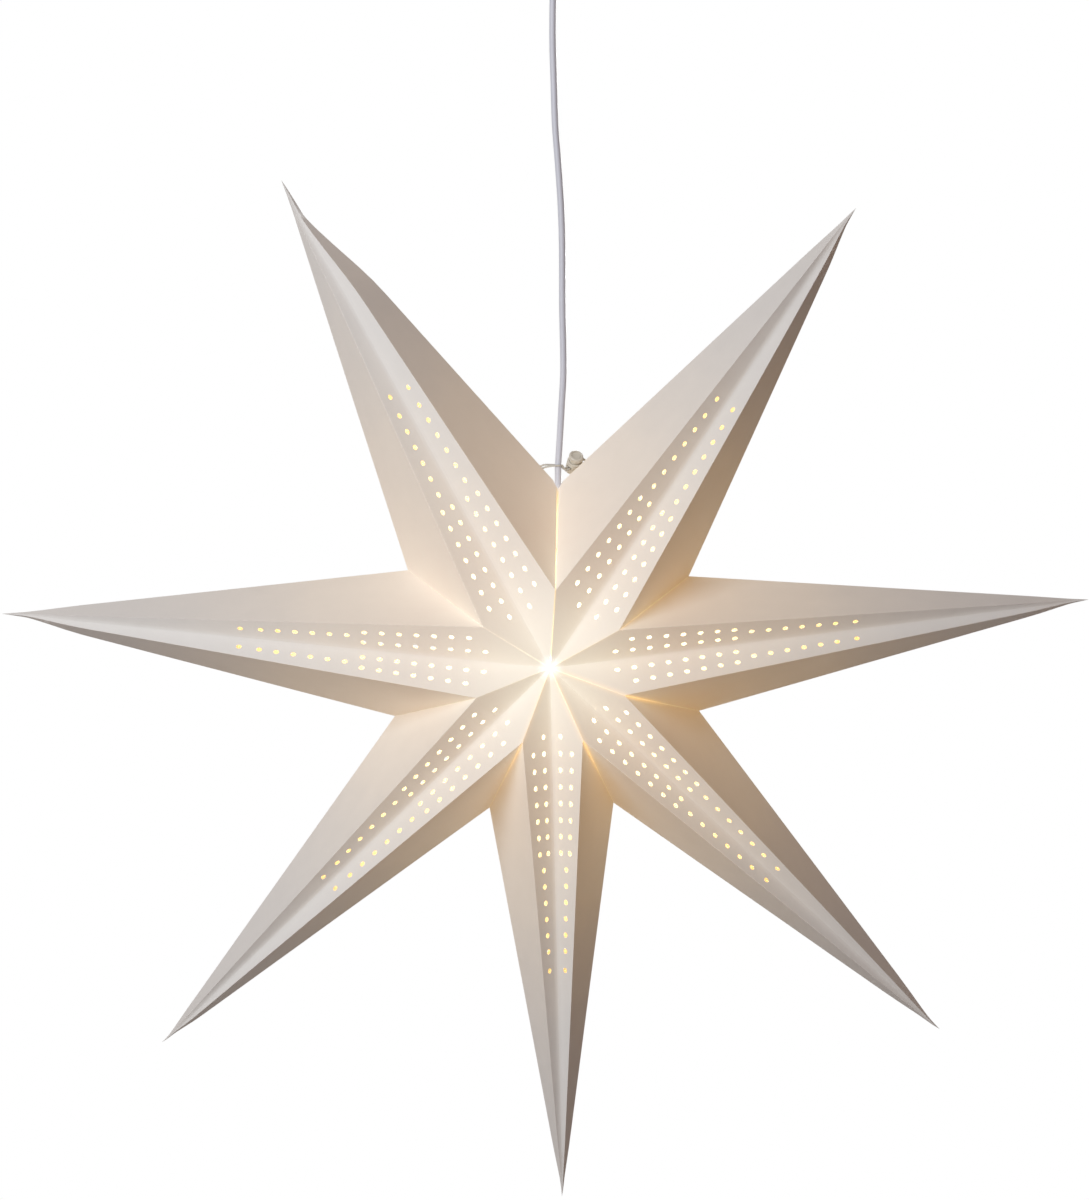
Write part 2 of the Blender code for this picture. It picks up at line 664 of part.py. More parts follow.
def holder_inside(parent):
    """What the lamp holder holds: the contact carrier, its posts, the contacts and the screw shell."""
    axis = Vector((LAMP_X, 0, 0))
    radius = CARRIER_RADIUS
    carrier = [
        (0, CARRIER_TOP),
        (radius - CARRIER_BEVEL, CARRIER_TOP),
        (radius, CARRIER_TOP - CARRIER_BEVEL),
        (radius, CARRIER_BOTTOM),
        (0, CARRIER_BOTTOM),
    ]
    finished("contact_carrier", spun(carrier, axis), PAINT["insulator"], HOLDER_TOP, parent, smooth=True)
    contact = [
        (0, CONTACT_TOP),
        (CONTACT_RADIUS / 2, CONTACT_TOP),
        (CONTACT_RADIUS / 2, CONTACT_BOTTOM + CONTACT_RADIUS),
        (CONTACT_RADIUS, CONTACT_BOTTOM + CONTACT_RADIUS / 2),
        (CONTACT_RADIUS, CONTACT_BOTTOM),
        (0, CONTACT_BOTTOM),
    ]
    finished("centre_contact", spun(contact, axis, SMALL_STEPS), PAINT["brass"], HOLDER_TOP, parent, smooth=True)
    outer = SHELL_INNER_RADIUS + SHELL_WALL
    bottom = CONTACT_TOP - SHELL_LENGTH
    shell = [
        (outer, CONTACT_TOP),
        (outer, bottom),
        (SHELL_INNER_RADIUS, bottom),
        (SHELL_INNER_RADIUS, CONTACT_TOP),
    ]
    finished("screw_shell", spun(shell, axis), PAINT["brass"], HOLDER_TOP, parent, smooth=True)
    strip_size = (SIDE_CONTACT_THICKNESS, SIDE_CONTACT_WIDTH, SIDE_CONTACT_LENGTH)
    strip_x = outer + FIT_GAP + SIDE_CONTACT_THICKNESS / 2
    strip_place = axis + Vector((strip_x, 0, CONTACT_TOP - SIDE_CONTACT_LENGTH / 2))
    finished("side_contact", block(strip_size, strip_place), PAINT["brass"], HOLDER_TOP, parent)
    foot = CARRIER_TOP + FIT_GAP
    finished_pair(
        "terminal_post",
        (1, 2),
        lambda: spun(rod(POST_RADIUS, foot + POST_HEIGHT, POST_HEIGHT), axis, SMALL_STEPS),
        [Matrix.Translation((side * POST_SPACING / 2, 0, 0)) for side in (-1, 1)],
        PAINT["brass"],
        HOLDER_TOP,
        parent,
    )


def holder_wiring(parent):
    """The two cores inside the cap, from the cord's end down to the terminal posts."""
    top = HOLDER_TOP.z
    foot = CARRIER_TOP + FIT_GAP + POST_HEIGHT + FIT_GAP
    for name, side in (("holder_wire_brown", -1), ("holder_wire_blue", 1)):
        near = LAMP_X + side * CORE_SPACING / 2
        far = LAMP_X + side * POST_SPACING / 2
        route = (
            (near, 0, top - FIT_GAP),
            (near, 0, top - CAP_WALL * 2),
            (far, 0, foot + CORE_RADIUS * 2),
            (far, 0, foot),
        )
        finish = PAINT[name.replace("holder_", "")]
        tube(name, smooth_route(route, CORE_STEP), CORE_RADIUS, finish, HOLDER_TOP, parent)


def bulb_tip(parent):
    """The bulb's centre contact and the black glass insulator round it."""
    axis = Vector((LAMP_X, 0, 0))
    tip = [
        (0, BULB_TIP),
        (TIP_CONTACT_RADIUS / 2, BULB_TIP),
        (TIP_CONTACT_RADIUS, BULB_TIP - TIP_CONTACT_HEIGHT / 2),
        (TIP_CONTACT_RADIUS, INSULATOR_TOP),
        (0, INSULATOR_TOP),
    ]
    finished("bulb_tip_contact", spun(tip, axis, SMALL_STEPS), PAINT["brass"], HOLDER_TOP, parent, smooth=True)
    cone = [
        (0, INSULATOR_TOP - FIT_GAP),
        (TIP_CONTACT_RADIUS, INSULATOR_TOP - FIT_GAP),
        (BASE_RADIUS - BASE_WALL - FIT_GAP, BASE_TOP),
        (BASE_RADIUS - BASE_WALL - FIT_GAP, BASE_TOP - INSULATOR_HEIGHT),
        (0, BASE_TOP - INSULATOR_HEIGHT),
    ]
    finished("bulb_insulator", spun(cone, axis, SMALL_STEPS), PAINT["black"], HOLDER_TOP, parent, smooth=True)


def bulb_body(parent):
    """The bulb's screw base, its housing, the globe and the filament stem inside."""
    axis = Vector((LAMP_X, 0, 0))
    inner = BASE_RADIUS - BASE_WALL
    base = [
        (BASE_RADIUS, BASE_TOP),
        (BASE_RADIUS, BASE_BOTTOM),
        (inner, BASE_BOTTOM),
        (inner, BASE_TOP),
    ]
    finished("bulb_screw_base", spun(base, axis), PAINT["nickel"], HOLDER_TOP, parent, smooth=True)
    top = BASE_BOTTOM - FIT_GAP
    neck_end = BASE_BOTTOM - NECK_LENGTH
    housing = [
        (0, top),
        (NECK_RADIUS, top),
        (NECK_RADIUS, neck_end),
        (GLOBE_NECK_RADIUS, HOUSING_BOTTOM + HOUSING_LENGTH / 4),
        (GLOBE_NECK_RADIUS, HOUSING_BOTTOM),
        (0, HOUSING_BOTTOM),
    ]
    finished("bulb_housing", spun(housing, axis), PAINT["holder"], HOLDER_TOP, parent, smooth=True)
    start = math.asin(GLOBE_OPENING / GLOBE_RADIUS)
    middle = (0, GLOBE_CENTRE)
    inner_radius = GLOBE_RADIUS - GLOBE_WALL
    inner_start = math.asin(GLOBE_OPENING / inner_radius)
    outside = arc(middle, GLOBE_RADIUS, start, -math.pi / 2, GLOBE_RINGS)[:-1]
    inside = arc(middle, inner_radius, -math.pi / 2, inner_start, GLOBE_RINGS)[1:]
    poles = [(0, GLOBE_CENTRE - GLOBE_RADIUS), (0, GLOBE_CENTRE - inner_radius)]
    globe = spun(outside + poles + inside, axis)
    finished("bulb_globe", globe, PAINT["glass"], HOLDER_TOP, parent, smooth=True)
    foot = HOUSING_BOTTOM - FIT_GAP
    stem = spun(rod(STEM_RADIUS, foot, STEM_HEIGHT), axis, SMALL_STEPS)
    finished("bulb_stem", stem, PAINT["glass"], HOLDER_TOP, parent, smooth=True)
    reach = Vector((STEM_RADIUS + FIT_GAP + FILAMENT_RADIUS, 0, 0))
    finished_pair(
        "led_filament",
        range(1, FILAMENT_COUNT + 1),
        lambda: spun(rod(FILAMENT_RADIUS, foot - FIT_GAP, FILAMENT_LENGTH), reach, FILAMENT_STEPS),
        [
            Matrix.Translation(axis) @ Matrix.Rotation(math.tau * number / FILAMENT_COUNT, 4, "Z")
            for number in range(FILAMENT_COUNT)
        ],
        PAINT["filament"],
        HOLDER_TOP,
        parent,
    )


def back_face_spot(number, side, along, down, lift):
    """A place over a top point's back side face: along its outer fold, down the face and off the paper."""
    corner = page_side(0, side)["notch"]
    tip = STAR_CENTRE + outward(TIP_ANGLES[number]) * STAR_RADIUS
    ridge = mirrored(page_side(0, side)["ridge"])
    fold = (tip - corner).normalized()
    normal = fold.cross(ridge - corner).normalized()
    if normal.y < 0:
        normal = -normal
    across = normal.cross(fold)
    if across.dot(ridge - corner) < 0:
        across = -across
    return corner + fold * along + across * down + normal * lift, normal, across


def wrap_point(angle):
    """A place beside the cord that the string passes, at an angle from +X towards +Y."""
    turn = math.radians(angle)
    reach = CORD_RADIUS + STRING_GAP + STRING_RADIUS
    rise = STAR_CENTRE.z + TOP_NOTCH_RADIUS + STRING_RISE
    return Vector((LAMP_X + reach * math.cos(turn), reach * math.sin(turn), rise))


def lock_place():
    """The cord lock's own frame: +Z up its barrel, which lies on the right top point's back face, +X along the string."""
    place, normal, across = back_face_spot(1, 1, LOCK_ALONG, LOCK_DOWN, LOCK_RADIUS + FIT_GAP)
    up = Matrix.Rotation(LOCK_LEAN, 3, normal) @ -across
    away = place - wrap_point(FRONT_WRAP_ANGLES[-1])
    level = (away - up * away.dot(up)).normalized()
    run = Matrix.Rotation(SLOT_TURN, 3, up) @ level
    matrix = Matrix((run, up.cross(run), up)).transposed().to_4x4()
    matrix.translation = place
    return matrix


def string_strand(name, side, wrap_angles, parent):
    """One strand of the tie: from its left knot over the left fold, past the cord and through the lock."""
    lock = lock_place()
    beside = side * STRAND_SPACING / 2
    into_lock = LOCK_RADIUS + STRING_RADIUS * 2
    reach = KNOT_RADIUS + FIT_GAP
    left_knot, left_normal, _ = back_face_spot(0, -1, LEFT_KNOT_ALONG, LEFT_KNOT_DOWN, reach)
    right_knot, right_normal, _ = back_face_spot(1, 1, RIGHT_KNOT_ALONG, RIGHT_KNOT_DOWN, reach)
    left_edge = back_face_spot(0, -1, EDGE_ALONG, 0, EDGE_LIFT)[0]
    from_left = (left_edge - left_knot).normalized()
    left_apart = left_normal.cross(from_left) * side * -STRAND_SPACING / 2
    into_right = (right_knot - lock @ Vector((into_lock, 0, SLOT_RISE))).normalized()
    right_apart = right_normal.cross(into_right).normalized() * side * STRAND_SPACING / 2
    route = [left_knot + from_left * reach + left_apart, left_edge + left_apart]
    route += [wrap_point(angle) for angle in wrap_angles]
    route += [lock @ Vector((into_lock * share, beside, SLOT_RISE)) for share in LOCK_RUN_SHARES]
    route += [right_knot - into_right * reach + right_apart]
    return tube(name, smooth_route(route, STRING_STEP), STRING_RADIUS, PAINT["string"], STAR_CENTRE, parent)


def tie_knot(name, place, parent):
    """A knot at one end of the string, behind a top point."""
    shape = bmesh.new()
    bmesh.ops.create_icosphere(shape, subdivisions=2, radius=KNOT_RADIUS, matrix=Matrix.Translation(place))
    return finished(name, shape, PAINT["string"], STAR_CENTRE, parent, smooth=True)


def lock_slot(name, height, rise):
    """A cutter for the string's slot through one piece of the cord lock."""
    size = (LOCK_RADIUS * 2 + CUT_OVERRUN, SLOT_WIDTH, height)
    shape = block(size, (0, 0, SLOT_RISE + rise))
    bmesh.ops.transform(shape, matrix=lock_place(), verts=shape.verts)
    return cutter(name, shape)


def lock_piece(name, profile, parent):
    """One turned piece of the cord lock, in the lock's own place."""
    lock = lock_place()
    shape = spun(profile, Vector())
    bmesh.ops.transform(shape, matrix=lock, verts=shape.verts)
    return finished(name, shape, PAINT["ivory"], lock.translation, parent, smooth=True)


def lock_barrel(parent):
    """The cord lock's barrel, open at the top, with the string's slot through its wall."""
    half = BARREL_HEIGHT / 2
    bore = PLUNGER_RADIUS + PLUNGER_CLEARANCE
    profile = [
        (bore, half),
        (LOCK_RADIUS - BARREL_BEVEL, half),
        (LOCK_RADIUS, half - BARREL_BEVEL),
        (LOCK_RADIUS, BARREL_BEVEL - half),
        (LOCK_RADIUS - BARREL_BEVEL, -half),
        (0, -half),
        (0, BARREL_FLOOR - half),
        (bore, BARREL_FLOOR - half),
    ]
    barrel = lock_piece("lock_barrel", profile, parent)
    cut(barrel, lock_slot("barrel_slot_cutter", SLOT_HEIGHT, 0))
    return barrel


def lock_plunger(parent):
    """The cord lock's push button on its plunger, with a ring round the button's dished top."""
    half = BARREL_HEIGHT / 2
    button_foot = half + FIT_GAP + PLUNGER_TRAVEL
    button_top = button_foot + BUTTON_HEIGHT
    foot = SLOT_RISE - SLOT_HEIGHT / 2 - SLOT_FLOOR
    profile = [
        (0, button_top - BUTTON_DISH),
        (BUTTON_RADIUS - BUTTON_RIM * 2, button_top - BUTTON_DISH),
        (BUTTON_RADIUS - BUTTON_RIM * 3 / 2, button_top),
        (BUTTON_RADIUS - BUTTON_RIM, button_top),
        (BUTTON_RADIUS, button_top - BUTTON_RIM),
        (BUTTON_RADIUS, button_foot),
        (PLUNGER_RADIUS, button_foot),
        (PLUNGER_RADIUS, foot),
        (0, foot),
    ]
    plunger = lock_piece("lock_plunger", profile, parent)
    cut(plunger, lock_slot("plunger_slot_cutter", SLOT_HEIGHT + PLUNGER_TRAVEL, PLUNGER_TRAVEL / 2))
    return plunger


def lock_spring(parent):
    """The small coil spring between the barrel's floor and the plunger."""
    lock = lock_place()
    low = BARREL_FLOOR - BARREL_HEIGHT / 2 + FIT_GAP + SPRING_WIRE_RADIUS
    high = SLOT_RISE - SLOT_HEIGHT / 2 - SLOT_FLOOR - FIT_GAP - SPRING_WIRE_RADIUS
    count = SPRING_TURNS * SPRING_POINTS_A_TURN
    points = []
    for number in range(count + 1):
        turn = math.tau * number / SPRING_POINTS_A_TURN
        height = low + (high - low) * number / count
        points.append(lock @ Vector((SPRING_RADIUS * math.cos(turn), SPRING_RADIUS * math.sin(turn), height)))
    return tube("lock_spring", points, SPRING_WIRE_RADIUS, PAINT["steel"], lock.translation, parent, detail=1)


def clear_scene():
    """Remove every object, so that the file holds only the lantern."""
    for old in list(bpy.data.objects):
        bpy.data.objects.remove(old, do_unlink=True)


clear_scene()
PAINT = {
    "paper": material("white_paper", (0.86, 0.82, 0.78), 0.85),
    "cord": material("white_cord", (0.62, 0.63, 0.68), 0.45),
    "cup": material("white_moulding", (0.80, 0.80, 0.79), 0.35),
    "holder": material("holder_moulding", (0.82, 0.81, 0.78), 0.4),
    "steel": material("zinc_plated_steel", (0.62, 0.62, 0.62), 0.35, 1.0),
    "brass": material("brass", (0.78, 0.60, 0.28), 0.3, 1.0),
    "nickel": material("nickel_plate", (0.72, 0.70, 0.66), 0.25, 1.0),
    "insulator": material("contact_moulding", (0.70, 0.68, 0.62), 0.5),
    "black": material("black_insulator", (0.03, 0.03, 0.03), 0.3),
    "glass": material("frosted_globe", (0.95, 0.90, 0.80), 0.3),
    "filament": material("led_filament", (0.95, 0.75, 0.30), 0.5),
    "wire_brown": material("brown_core", (0.25, 0.11, 0.05), 0.5),
    "wire_blue": material("blue_core", (0.05, 0.16, 0.42), 0.5),
    "string": material("twisted_string", (0.80, 0.78, 0.72), 0.8),
    "ivory": material("ivory_moulding", (0.62, 0.57, 0.47), 0.4),
    "cutter": material("cutter", (1.0, 0.0, 0.0), 0.5),
}

grip_joint = joint_empty("grip_joint", BALL_CENTRE)
cord_joint = joint_empty("cord_joint", GRIP_MOUTH, grip_joint)
lamp_joint = joint_empty("lamp_joint", HOLDER_TOP, cord_joint)
turn_joint = joint_empty("turn_joint", HOLDER_TOP, cord_joint)
fold_joint = joint_empty("fold_joint", STAR_CENTRE, turn_joint)

strap = ceiling_bracket()
rose = ceiling_cup()
side_screws(strap, rose)
ceiling_wiring(terminal_block())
cord_grip(grip_joint)
cord(cord_joint)
holder_cap(cord_joint)
holder_body(cord_joint)
holder_inside(cord_joint)
holder_wiring(cord_joint)
bulb_tip(lamp_joint)
bulb_body(lamp_joint)

star_points = [star_point(number, fold_joint) for number in range(len(TIP_ANGLES))]
first_point = star_points[0]
first_point["place"] = STAR_CENTRE
string_strand("tie_string_front", -1, FRONT_WRAP_ANGLES, first_point)
string_strand("tie_string_back", 1, BACK_WRAP_ANGLES, first_point)
knot_lift = KNOT_RADIUS + FIT_GAP
tie_knot("tie_knot_left", back_face_spot(0, -1, LEFT_KNOT_ALONG, LEFT_KNOT_DOWN, knot_lift)[0], first_point)
tie_knot("tie_knot_right", back_face_spot(1, 1, RIGHT_KNOT_ALONG, RIGHT_KNOT_DOWN, knot_lift)[0], first_point)
lock_barrel(first_point)
lock_spring(first_point)
lock_plunger(first_point)
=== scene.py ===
# %% [markdown]
# # A folded paper star lantern on its lamp cord
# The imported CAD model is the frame: it holds the ceiling fitting, the cord, the lamp holder, the bulb and the
# seven hollow points of the star, each where it really is. This script dresses that frame. It keeps the CAD
# pieces whose shape is right and gives them a finish, and it makes fuller pieces for the paper, the cord,
# the string, the cord lock and its spring, the bulb's cap and the ceiling cup.

# %% Load the frame and keep its box
import math

import bmesh
import bpy
from mathutils import Matrix, Vector, noise
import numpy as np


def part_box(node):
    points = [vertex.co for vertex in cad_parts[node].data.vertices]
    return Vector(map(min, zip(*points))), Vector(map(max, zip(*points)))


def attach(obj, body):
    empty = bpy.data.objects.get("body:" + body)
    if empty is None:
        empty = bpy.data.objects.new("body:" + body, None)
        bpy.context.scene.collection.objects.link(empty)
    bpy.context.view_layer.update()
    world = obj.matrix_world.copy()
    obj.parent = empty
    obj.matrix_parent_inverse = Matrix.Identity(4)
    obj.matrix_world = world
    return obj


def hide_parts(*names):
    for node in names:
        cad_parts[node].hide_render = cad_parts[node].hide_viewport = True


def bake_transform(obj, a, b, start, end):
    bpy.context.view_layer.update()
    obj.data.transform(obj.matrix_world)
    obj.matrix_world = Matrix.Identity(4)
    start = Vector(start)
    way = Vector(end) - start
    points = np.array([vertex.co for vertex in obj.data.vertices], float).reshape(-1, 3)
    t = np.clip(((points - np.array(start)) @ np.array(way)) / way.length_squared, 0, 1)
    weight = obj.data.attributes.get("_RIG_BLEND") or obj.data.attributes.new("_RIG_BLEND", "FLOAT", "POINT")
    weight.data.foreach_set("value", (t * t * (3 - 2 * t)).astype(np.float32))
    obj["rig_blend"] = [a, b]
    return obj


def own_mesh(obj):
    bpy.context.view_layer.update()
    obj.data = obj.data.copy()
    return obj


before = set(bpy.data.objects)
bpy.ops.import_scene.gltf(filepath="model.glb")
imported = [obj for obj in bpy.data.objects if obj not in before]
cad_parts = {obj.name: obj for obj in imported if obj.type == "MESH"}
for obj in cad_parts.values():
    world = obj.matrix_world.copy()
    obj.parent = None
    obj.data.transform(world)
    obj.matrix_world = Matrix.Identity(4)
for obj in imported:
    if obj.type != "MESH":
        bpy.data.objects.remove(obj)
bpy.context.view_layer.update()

# %% [markdown]
# ## Where the star is
# The star hangs with its middle a little left of the ceiling fitting. Angles are counted in degrees, clockwise
# from straight up, as on a clock face seen from the front. A page is the face where two points are glued.

# %% The star's own measures
STAR_CENTRE = Vector((-0.0057, 0, -0.683))
TIP_REACHES = (0.500, 0.501, 0.507, 0.513, 0.512, 0.510, 0.503)
TOP_NOTCH_RADIUS = 0.163
NOTCH_RADIUS = 0.151
RIDGE_RADIUS = 0.0708
RIDGE_DEPTH = 0.102
CENTRE_DEPTH = 0.095
FLAP_WIDTH = 0.012
FIT_GAP = 0.0003
TOP_SLIT = 0.0007
TOP_CLEARANCE = 0.0016
THROAT_GAP, THROAT_SHARE = 0.0011, 0.05
CORD_RADIUS = 0.003
PAPER_THICKNESS = 0.0003
TIP_ANGLES = (331.2, 34.5, 84.2, 133.85, 178.3, 224.7, 274.7)
PAGE_ANGLES = (3.7, 60.6, 109.9, 155.5, 200.6, 248.6, 302.2)


def outward(angle):
    """Unit vector from the star's middle towards an angle of the clock face."""
    turn = math.radians(angle)
    return Vector((math.sin(turn), 0, math.cos(turn)))


def clockwise(angle):
    """Unit vector square to the one above, pointing clockwise."""
    turn = math.radians(angle)
    return Vector((math.cos(turn), 0, -math.sin(turn)))


for angle, reach in zip(TIP_ANGLES, TIP_REACHES):
    print("tip at", [round(c, 3) for c in STAR_CENTRE + outward(angle) * reach])

# %% [markdown]
# ## The camera
# The star is seen from straight ahead and from slightly above, with a long lens, so that its seven points keep
# their true proportions. The cord leaves the picture at the top, and the ceiling fitting is just outside it.

# %% Camera
VIEW_TARGET = Vector((-0.00755, 0, -0.6307))
VIEW_DISTANCE = 3.0
VIEW_TURN = math.radians(-1.85)
VIEW_RISE = math.radians(5.4)
VIEW_HEIGHT = 1.11
SENSOR = 36

towards_camera = Vector(
    (math.sin(VIEW_TURN) * math.cos(VIEW_RISE), -math.cos(VIEW_TURN) * math.cos(VIEW_RISE), math.sin(VIEW_RISE))
)
camera_data = bpy.data.cameras.new("camera")
camera_data.sensor_width = SENSOR
camera_data.lens = SENSOR * VIEW_DISTANCE / VIEW_HEIGHT
camera = bpy.data.objects.new("camera", camera_data)
bpy.context.collection.objects.link(camera)
camera.location = VIEW_TARGET + towards_camera * VIEW_DISTANCE
camera.rotation_euler = towards_camera.to_track_quat("Z", "Y").to_euler()
bpy.context.scene.camera = camera
bpy.context.scene.view_settings.view_transform = "Standard"
print("camera at", [round(c, 3) for c in camera.location], "lens", round(camera_data.lens, 1))

# %% [markdown]
# ## Small helpers for materials
# Every finish is a tree of shader nodes. A few helpers make such a tree short to write. The first one
# links a socket or sets its value, and the second one makes any node. Each of the others makes one kind of node
# and gives back what the next node reads.


# %% Node helpers
def feed(tree, socket, value):
    """Link a socket to another one, or set its value."""
    if isinstance(value, bpy.types.NodeSocket):
        tree.links.new(value, socket)
    else:
        socket.default_value = value


def add_node(tree, kind, values=(), **settings):
    """One node with its settings, and with values or links fed to its inputs by their names or numbers."""
    node = tree.nodes.new("ShaderNode" + kind)
    for name, setting in settings.items():
        setattr(node, name, setting)
    for key, value in values:
        feed(tree, node.inputs[key], value)
    return node


def calculate(tree, operation, *values, clamp=False):
    """One calculation on values."""
    return add_node(tree, "Math", enumerate(values), operation=operation, use_clamp=clamp).outputs["Value"]


def times(tree, first, second, clamp=False):
    """Two values multiplied."""
    return calculate(tree, "MULTIPLY", first, second, clamp=clamp)


def calculate_vector(tree, operation, *values, output="Vector"):
    """One calculation on vectors."""
    return add_node(tree, "VectorMath", enumerate(values), operation=operation).outputs[output]


def rescale(tree, value, low, high, new_low=0.0, new_high=1.0):
    """A value's smooth step from one range to another."""
    values = {"Value": value, "From Min": low, "From Max": high, "To Min": new_low, "To Max": new_high}
    return add_node(tree, "MapRange", values.items(), interpolation_type="SMOOTHSTEP").outputs["Result"]


def mix(tree, share, first, second, kind="MIX"):
    """A mix of two colours."""
    node = add_node(tree, "Mix", [("Factor", share)], data_type="RGBA", blend_type=kind)
    colours = [socket for socket in node.inputs if socket.type == "RGBA"]
    for socket, colour in zip(colours, (first, second)):
        feed(tree, socket, colour if isinstance(colour, bpy.types.NodeSocket) else (*colour, 1))
    return next(socket for socket in node.outputs if socket.type == "RGBA")


def grain(tree, place, scale, detail=2.0, rough=0.5):
    """A noise, from 0 to 1."""
    values = {"Vector": place, "Scale": scale, "Detail": detail, "Roughness": rough}
    return add_node(tree, "TexNoise", values.items()).outputs["Fac"]


def colour_ramp(tree, value, stops):
    """Colours blended between stops of (place, colour)."""
    node = add_node(tree, "ValToRGB", [("Fac", value)])
    ramp = node.color_ramp
    while len(ramp.elements) < len(stops):
        ramp.elements.new(0.5)
    for element, (place, colour) in zip(ramp.elements, stops):
        element.position = place
        element.color = (*colour, 1)
    return node.outputs["Color"]


def object_place(tree):
    """Where a point of the surface is, in the piece's own space."""
    return add_node(tree, "TexCoord").outputs["Object"]


def attribute(tree, name):
    """What one of the piece's own layers holds."""
    return add_node(tree, "Attribute", attribute_name=name).outputs


def map_values(tree, name):
    """The two values that one of the piece's UV maps holds."""
    spot = add_node(tree, "UVMap", uv_map=name).outputs["UV"]
    parts = add_node(tree, "SeparateXYZ", [("Vector", spot)]).outputs
    return parts["X"], parts["Y"]


print("node helpers ready")


# %% Group and finish helpers
def shared_group(name, inputs, outputs):
    """A node group with named sockets: its tree, its input sockets and its output sockets."""
    group = bpy.data.node_groups.new(name, "ShaderNodeTree")
    for label, kind, value in inputs:
        socket = group.interface.new_socket(label, in_out="INPUT", socket_type=kind)
        socket.default_value = value
    for label, kind in outputs:
        group.interface.new_socket(label, in_out="OUTPUT", socket_type=kind)
    start = group.nodes.new("NodeGroupInput")
    end = group.nodes.new("NodeGroupOutput")
    return group, start.outputs, end.inputs


def use_group(tree, group, **values):
    """Place a shared group in a material's tree with its own values."""
    values = [(label.capitalize(), value) for label, value in values.items()]
    return add_node(tree, "Group", values, node_tree=group).outputs


def new_finish(name, colour, roughness, metallic=0.0):
    """A material with a Principled shader: the material, its tree and the shader's inputs."""
    paint = bpy.data.materials.new(name)
    paint.use_nodes = True
    inputs = paint.node_tree.nodes["Principled BSDF"].inputs
    for label, value in (("Base Color", (*colour, 1)), ("Roughness", roughness), ("Metallic", metallic)):
        inputs[label].default_value = value
    paint.diffuse_color = (*colour, 1)
    return paint, paint.node_tree, inputs


def raise_surface(tree, inputs, height, distance, strength=1.0):
    """Feed a height through a Bump node to the shader's normal."""
    values = {"Distance": distance, "Strength": strength, "Height": height}
    tree.links.new(add_node(tree, "Bump", values.items()).outputs["Normal"], inputs["Normal"])


print("finish helpers ready")

# %% [markdown]
# ## The floor, the backdrop and the light
# A lantern like this is shown on plain white. The floor is a disc far below the star. It is pale to the camera
# only and a middling grey to the lamps, so that it throws little light up at the star. The world looks white
# to the camera and in reflections, and gives only a dim warm light of its own. One large soft lamp stands to
# the upper left, in front, so the left faces of the folds are pale and the right faces are shaded. A second
# one stands behind the star with a narrow spread. It lights the back and leaves the front as it is.

# %% Stage and lamps
FLOOR_HEIGHT = -1.95
FLOOR_RADIUS, FLOOR_SIDES = 2.3, 96
FLOOR_COLOUR = (0.58, 0.58, 0.58)
FLOOR_WHITE = (0.74, 0.74, 0.74)
ROOM_COLOUR = (1.0, 0.66, 0.52)
ROOM_STRENGTH = 0.16
LAMP_DISTANCE = 3.0
LAMP_SIZE = 1.6
LAMPS = (
    # name, direction, watts, spread in degrees
    ("key", (-0.475, -0.815, 0.40), 58, 180),
    ("back", (0.22, 0.97, 0.12), 5.5, 35),
)
LAMP_COLOUR = (0.95, 0.99, 1.03)

shape = bmesh.new()
floor_place = Matrix.Translation((0, 0, FLOOR_HEIGHT))
bmesh.ops.create_circle(shape, cap_ends=True, segments=FLOOR_SIDES, radius=FLOOR_RADIUS, matrix=floor_place)
floor_mesh = bpy.data.meshes.new("floor")
shape.to_mesh(floor_mesh)
shape.free()
floor = bpy.data.objects.new("floor", floor_mesh)
bpy.context.collection.objects.link(floor)
floor_paint, floor_tree, floor_inputs = new_finish("pale_floor", FLOOR_COLOUR, 0.9)
floor_light = add_node(floor_tree, "LightPath").outputs["Is Camera Ray"]
floor_inputs["Emission Strength"].default_value = 1.0
floor_glow = mix(floor_tree, floor_light, (0, 0, 0), FLOOR_WHITE)
floor_tree.links.new(floor_glow, floor_inputs["Emission Color"])
floor_mesh.materials.append(floor_paint)

world = bpy.data.worlds.new("room")
world.use_nodes = True
bpy.context.scene.world = world
room = world.node_tree
dim, white = room.nodes["Background"], add_node(room, "Background")
for background, colour, strength in ((dim, ROOM_COLOUR, ROOM_STRENGTH), (white, (1, 1, 1), 1.0)):
    background.inputs["Color"].default_value = (*colour, 1)
    background.inputs["Strength"].default_value = strength
rays = add_node(room, "LightPath").outputs
seen = calculate(room, "MAXIMUM", rays["Is Camera Ray"], rays["Is Glossy Ray"])
seen = calculate(room, "MAXIMUM", seen, rays["Is Transmission Ray"])
choose = add_node(room, "MixShader", enumerate((seen, dim.outputs[0], white.outputs[0])))
room.links.new(choose.outputs[0], room.nodes["World Output"].inputs["Surface"])

for name, direction, power, spread in LAMPS:
    lamp_data = bpy.data.lights.new(name, "AREA")
    lamp_data.size = LAMP_SIZE
    lamp_data.energy = power
    lamp_data.color = LAMP_COLOUR
    lamp_data.spread = math.radians(spread)
    lamp = bpy.data.objects.new(name, lamp_data)
    bpy.context.collection.objects.link(lamp)
    lamp.location = STAR_CENTRE + Vector(direction).normalized() * LAMP_DISTANCE
    lamp.rotation_euler = Vector(direction).to_track_quat("Z", "Y").to_euler()
    print(name, "lamp at", [round(c, 2) for c in lamp.location])

# %% [markdown]
# ## Small helpers for pieces
# A finished piece's object sits at the origin, and its place is in its mesh, as with the CAD pieces. A tube is
# made as a string of circles along a route, each bridged to the next.


# %% Piece helpers
MERGE_DISTANCE = 0.00001
FRONT_BACK = (1, -1)


